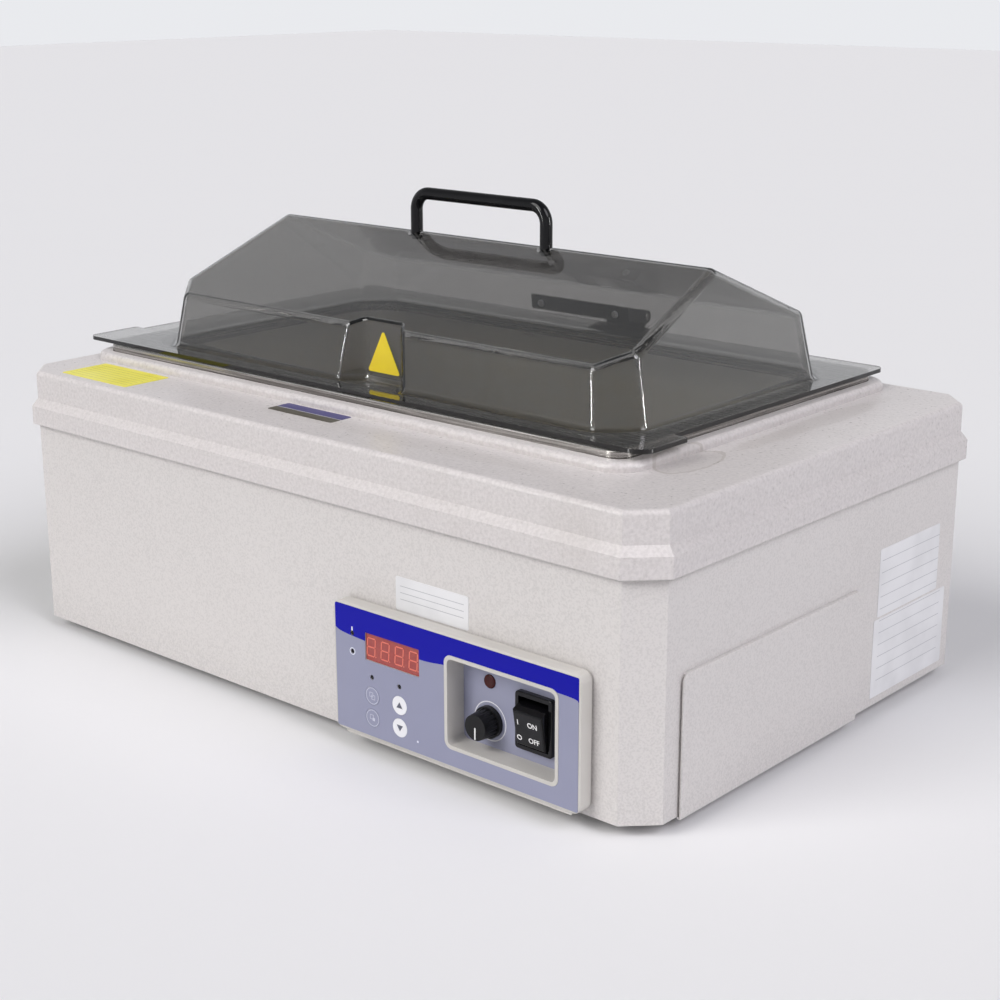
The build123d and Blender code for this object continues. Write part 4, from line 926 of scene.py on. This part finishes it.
LAMP_BLACK = (0.006, 0.005, 0.008, 1)
moulded("lamp_finish", LAMP_BLACK, 0.4, 0.6 * MM, 0.01 * MM).on("status_lamps")
lens_red = lens("safety_lens_finish", (0.02, 0.002, 0.002, 1), (0.09, 0.008, 0.006, 1))
lens_red.on("safety_lens")
zinc = plated("zinc_finish", (0.60, 0.60, 0.58, 1), (0.50, 0.53, 0.58, 1), 0.34)
zinc.on("base_plate", "foot_screws", "cover_screws", "heater_nuts")
zinc.on("hinge_plate_screws", "hinge_base_screws", "board_standoffs")
zinc.on("thermostat_nut", "side_cover_screws", "inlet_screws", "power_supply")
zinc.on("temperature_sensor", "safety_thermostat")
metal = plated("aluminium_finish", (0.68, 0.69, 0.70, 1), (0.60, 0.61, 0.62, 1), 0.38)
metal.on("heater_plate_left", "heater_plate_right", "relay_heat_sink")
copper = plated("copper_finish", (0.70, 0.36, 0.22, 1), (0.52, 0.27, 0.17, 1), 0.32)
copper.on("safety_bulb", "capillary_tube")
plated("silicone_finish", (0.45, 0.16, 0.09, 1), (0.52, 0.20, 0.12, 1), 0.7,
       metallic=0.0).on("heater_mat_left", "heater_mat_right", "tank_gasket")
plated("insulation_finish", (0.76, 0.75, 0.70, 1), (0.62, 0.60, 0.54, 1), 0.95,
       metallic=0.0, scale=200.0).on("tank_insulation")
plated("board_finish", (0.02, 0.16, 0.06, 1), (0.03, 0.22, 0.09, 1), 0.4,
       metallic=0.0, scale=300.0).on("control_board")
plated("wire_finish", (0.40, 0.05, 0.03, 1), (0.30, 0.04, 0.03, 1), 0.5,
       metallic=0.0).on("wiring")
print("small finishes ready")

# %% [markdown]
# ## Labels
# The labels are plain stickers. Paper isn't flat colour: it yellows a little
# in patches, and its ruled lines are thin and grey. The rules repeat along one
# axis of the label, kept clear of its rim by a mask on the distance to each side.


# %% Labels
def sticker(name, node, paper, aged, rule=None, pitch=4.0, plane="XZ", margin=5.0):
    """Plain sticker. A rule colour adds lines, spaced along the second axis."""
    finish = Finish(name)
    vector = finish.place()
    fibre = finish.noise(vector, 700.0)
    cloud = finish.noise(vector, 30.0, detail=4.0)
    colour = finish.mix(finish.spread(cloud, 0.35, 0.8, 0.0, 0.8), paper, aged)
    if rule:
        low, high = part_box(node)
        inside = 1.0
        for axis in plane:
            index = "XYZ".index(axis)
            centre = (low[index] + high[index]) / 2
            half = (high[index] - low[index]) / 2 - margin * MM
            spot = finish.part(vector, axis)
            inside = (abs(spot - centre) < half) * inside
        lines = (spot.wrap(pitch * MM) < 0.45 * MM) * inside
        colour = finish.mix(lines * 0.7, colour, rule)
    finish.set(Base_Color=colour)
    finish.set(Roughness=finish.spread(cloud, 0.3, 0.7, 0.28, 0.42))
    finish.set(Normal=finish.bump(fibre, 0.15, 0.02 * MM))
    finish.on(node)


PAPER = (srgb(232, 232, 234), srgb(216, 216, 218), srgb(150, 152, 160))
YELLOW = (srgb(238, 230, 58), srgb(226, 214, 60), srgb(120, 110, 44))
sticker("front_label_finish", "front_label", *PAPER, 4.6, "XZ", 4.0)
sticker("side_label_finish", "side_labels", *PAPER, 9.0, "YZ", 7.0)
sticker("cover_yellow_finish", "cover_label_yellow", *YELLOW, 5.0, "XY", 4.0)
sticker("lid_label_finish", "lid_label", srgb(242, 216, 24), srgb(232, 202, 26))
print("stickers ready")

# %% [markdown]
# ## Dark label
# The second label on the cover is two dark bands, an olive one in front and a
# violet one behind, with a thin pale line between them.

# %% Dark label
SPLIT = 0.46
OLIVE = srgb(84, 80, 66)
VIOLET = srgb(58, 54, 122)
PALE_LINE = srgb(190, 190, 200)
INK = srgb(40, 40, 44)

dark_low, dark_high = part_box("cover_label_dark")
dark_finish = Finish("cover_dark_finish")
vector = dark_finish.place()
y = dark_finish.part(vector, "Y")
cloud = dark_finish.noise(vector, 60.0, detail=4.0)
split = dark_low.y + (dark_high.y - dark_low.y) * SPLIT
bands = dark_finish.mix(y > split, OLIVE, VIOLET)
bands = dark_finish.mix(abs(y - split) < 0.5 * MM, bands, PALE_LINE)
dark_finish.set(Base_Color=dark_finish.mix(cloud * 0.3, bands, INK))
dark_finish.set(Roughness=0.32 + cloud * 0.1)
dark_finish.on("cover_label_dark")
print("dark label split at", round(split, 4))

# %% [markdown]
# ## Rocker legends
# The rocker carries the plain words ON and OFF with the usual line and
# circle, moulded in white on its face. A text object gives the letters. It is
# turned to lie on the rocker's tilted face, made a mesh, and rides on the
# rocker, so it tips with it.

# %% Rocker legends
ROCKER_TILT = 10.0
LEGEND_HEIGHT = 3.7 * MM
CAPITAL_SHARE = 0.72
LEGENDS = [("on_line", "I", -8.3, 4.3), ("on_word", "ON", 3.7, 4.3),
           ("off_circle", "O", -8.3, -7.0), ("off_word", "OFF", 3.7, -7.0)]

legend_finish = Finish("legend_finish")
chalk = legend_finish.noise(legend_finish.place(), 400.0)
chalky = legend_finish.mix(chalk, (0.80, 0.80, 0.80, 1), (0.88, 0.88, 0.88, 1))
legend_finish.set(Base_Color=chalky, Roughness=0.5)


def face_middle(node, direction):
    """Middle of a solid's outermost flat face that looks along a direction."""
    faces = nodes[node].data.polygons
    faces = [face for face in faces if face.normal.dot(direction) > 0.999]
    reach = max(face.center.dot(direction) for face in faces) - 0.01 * MM
    faces = [face for face in faces if face.center.dot(direction) > reach]
    area = sum(face.area for face in faces)
    return sum((face.center * face.area for face in faces), Vector()) / area


def legend(name, words, place, lean):
    """Words as a flat mesh on a leaning face. A capital fills a share of the size."""
    data = bpy.data.curves.new(name, "FONT")
    data.body = words
    data.size = LEGEND_HEIGHT / CAPITAL_SHARE
    data.align_x = "CENTER"
    data.align_y = "CENTER"
    data.offset = LEGEND_HEIGHT * 0.03
    source = bpy.data.objects.new(name + "_text", data)
    bpy.context.scene.collection.objects.link(source)
    turn = Matrix.Rotation(math.radians(90) + lean, 4, "X")
    piece = settle(source, name, Matrix.Translation(place) @ turn)
    piece.data.materials.clear()
    piece.data.materials.append(legend_finish.material)
    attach(piece, "rocker")


lean = math.radians(ROCKER_TILT)
rocker_out = Vector((0, -math.cos(lean), -math.sin(lean)))
rocker_up = Vector((0, -math.sin(lean), math.cos(lean)))
rocker_face = face_middle("power_rocker", rocker_out) + rocker_out * PRINT_GAP
for name, words, across, above in LEGENDS:
    spot = rocker_face + Vector((across * MM, 0, 0)) + rocker_up * above * MM
    legend(name, words, spot, lean)
print("rocker face middle:", [round(v, 4) for v in rocker_face])
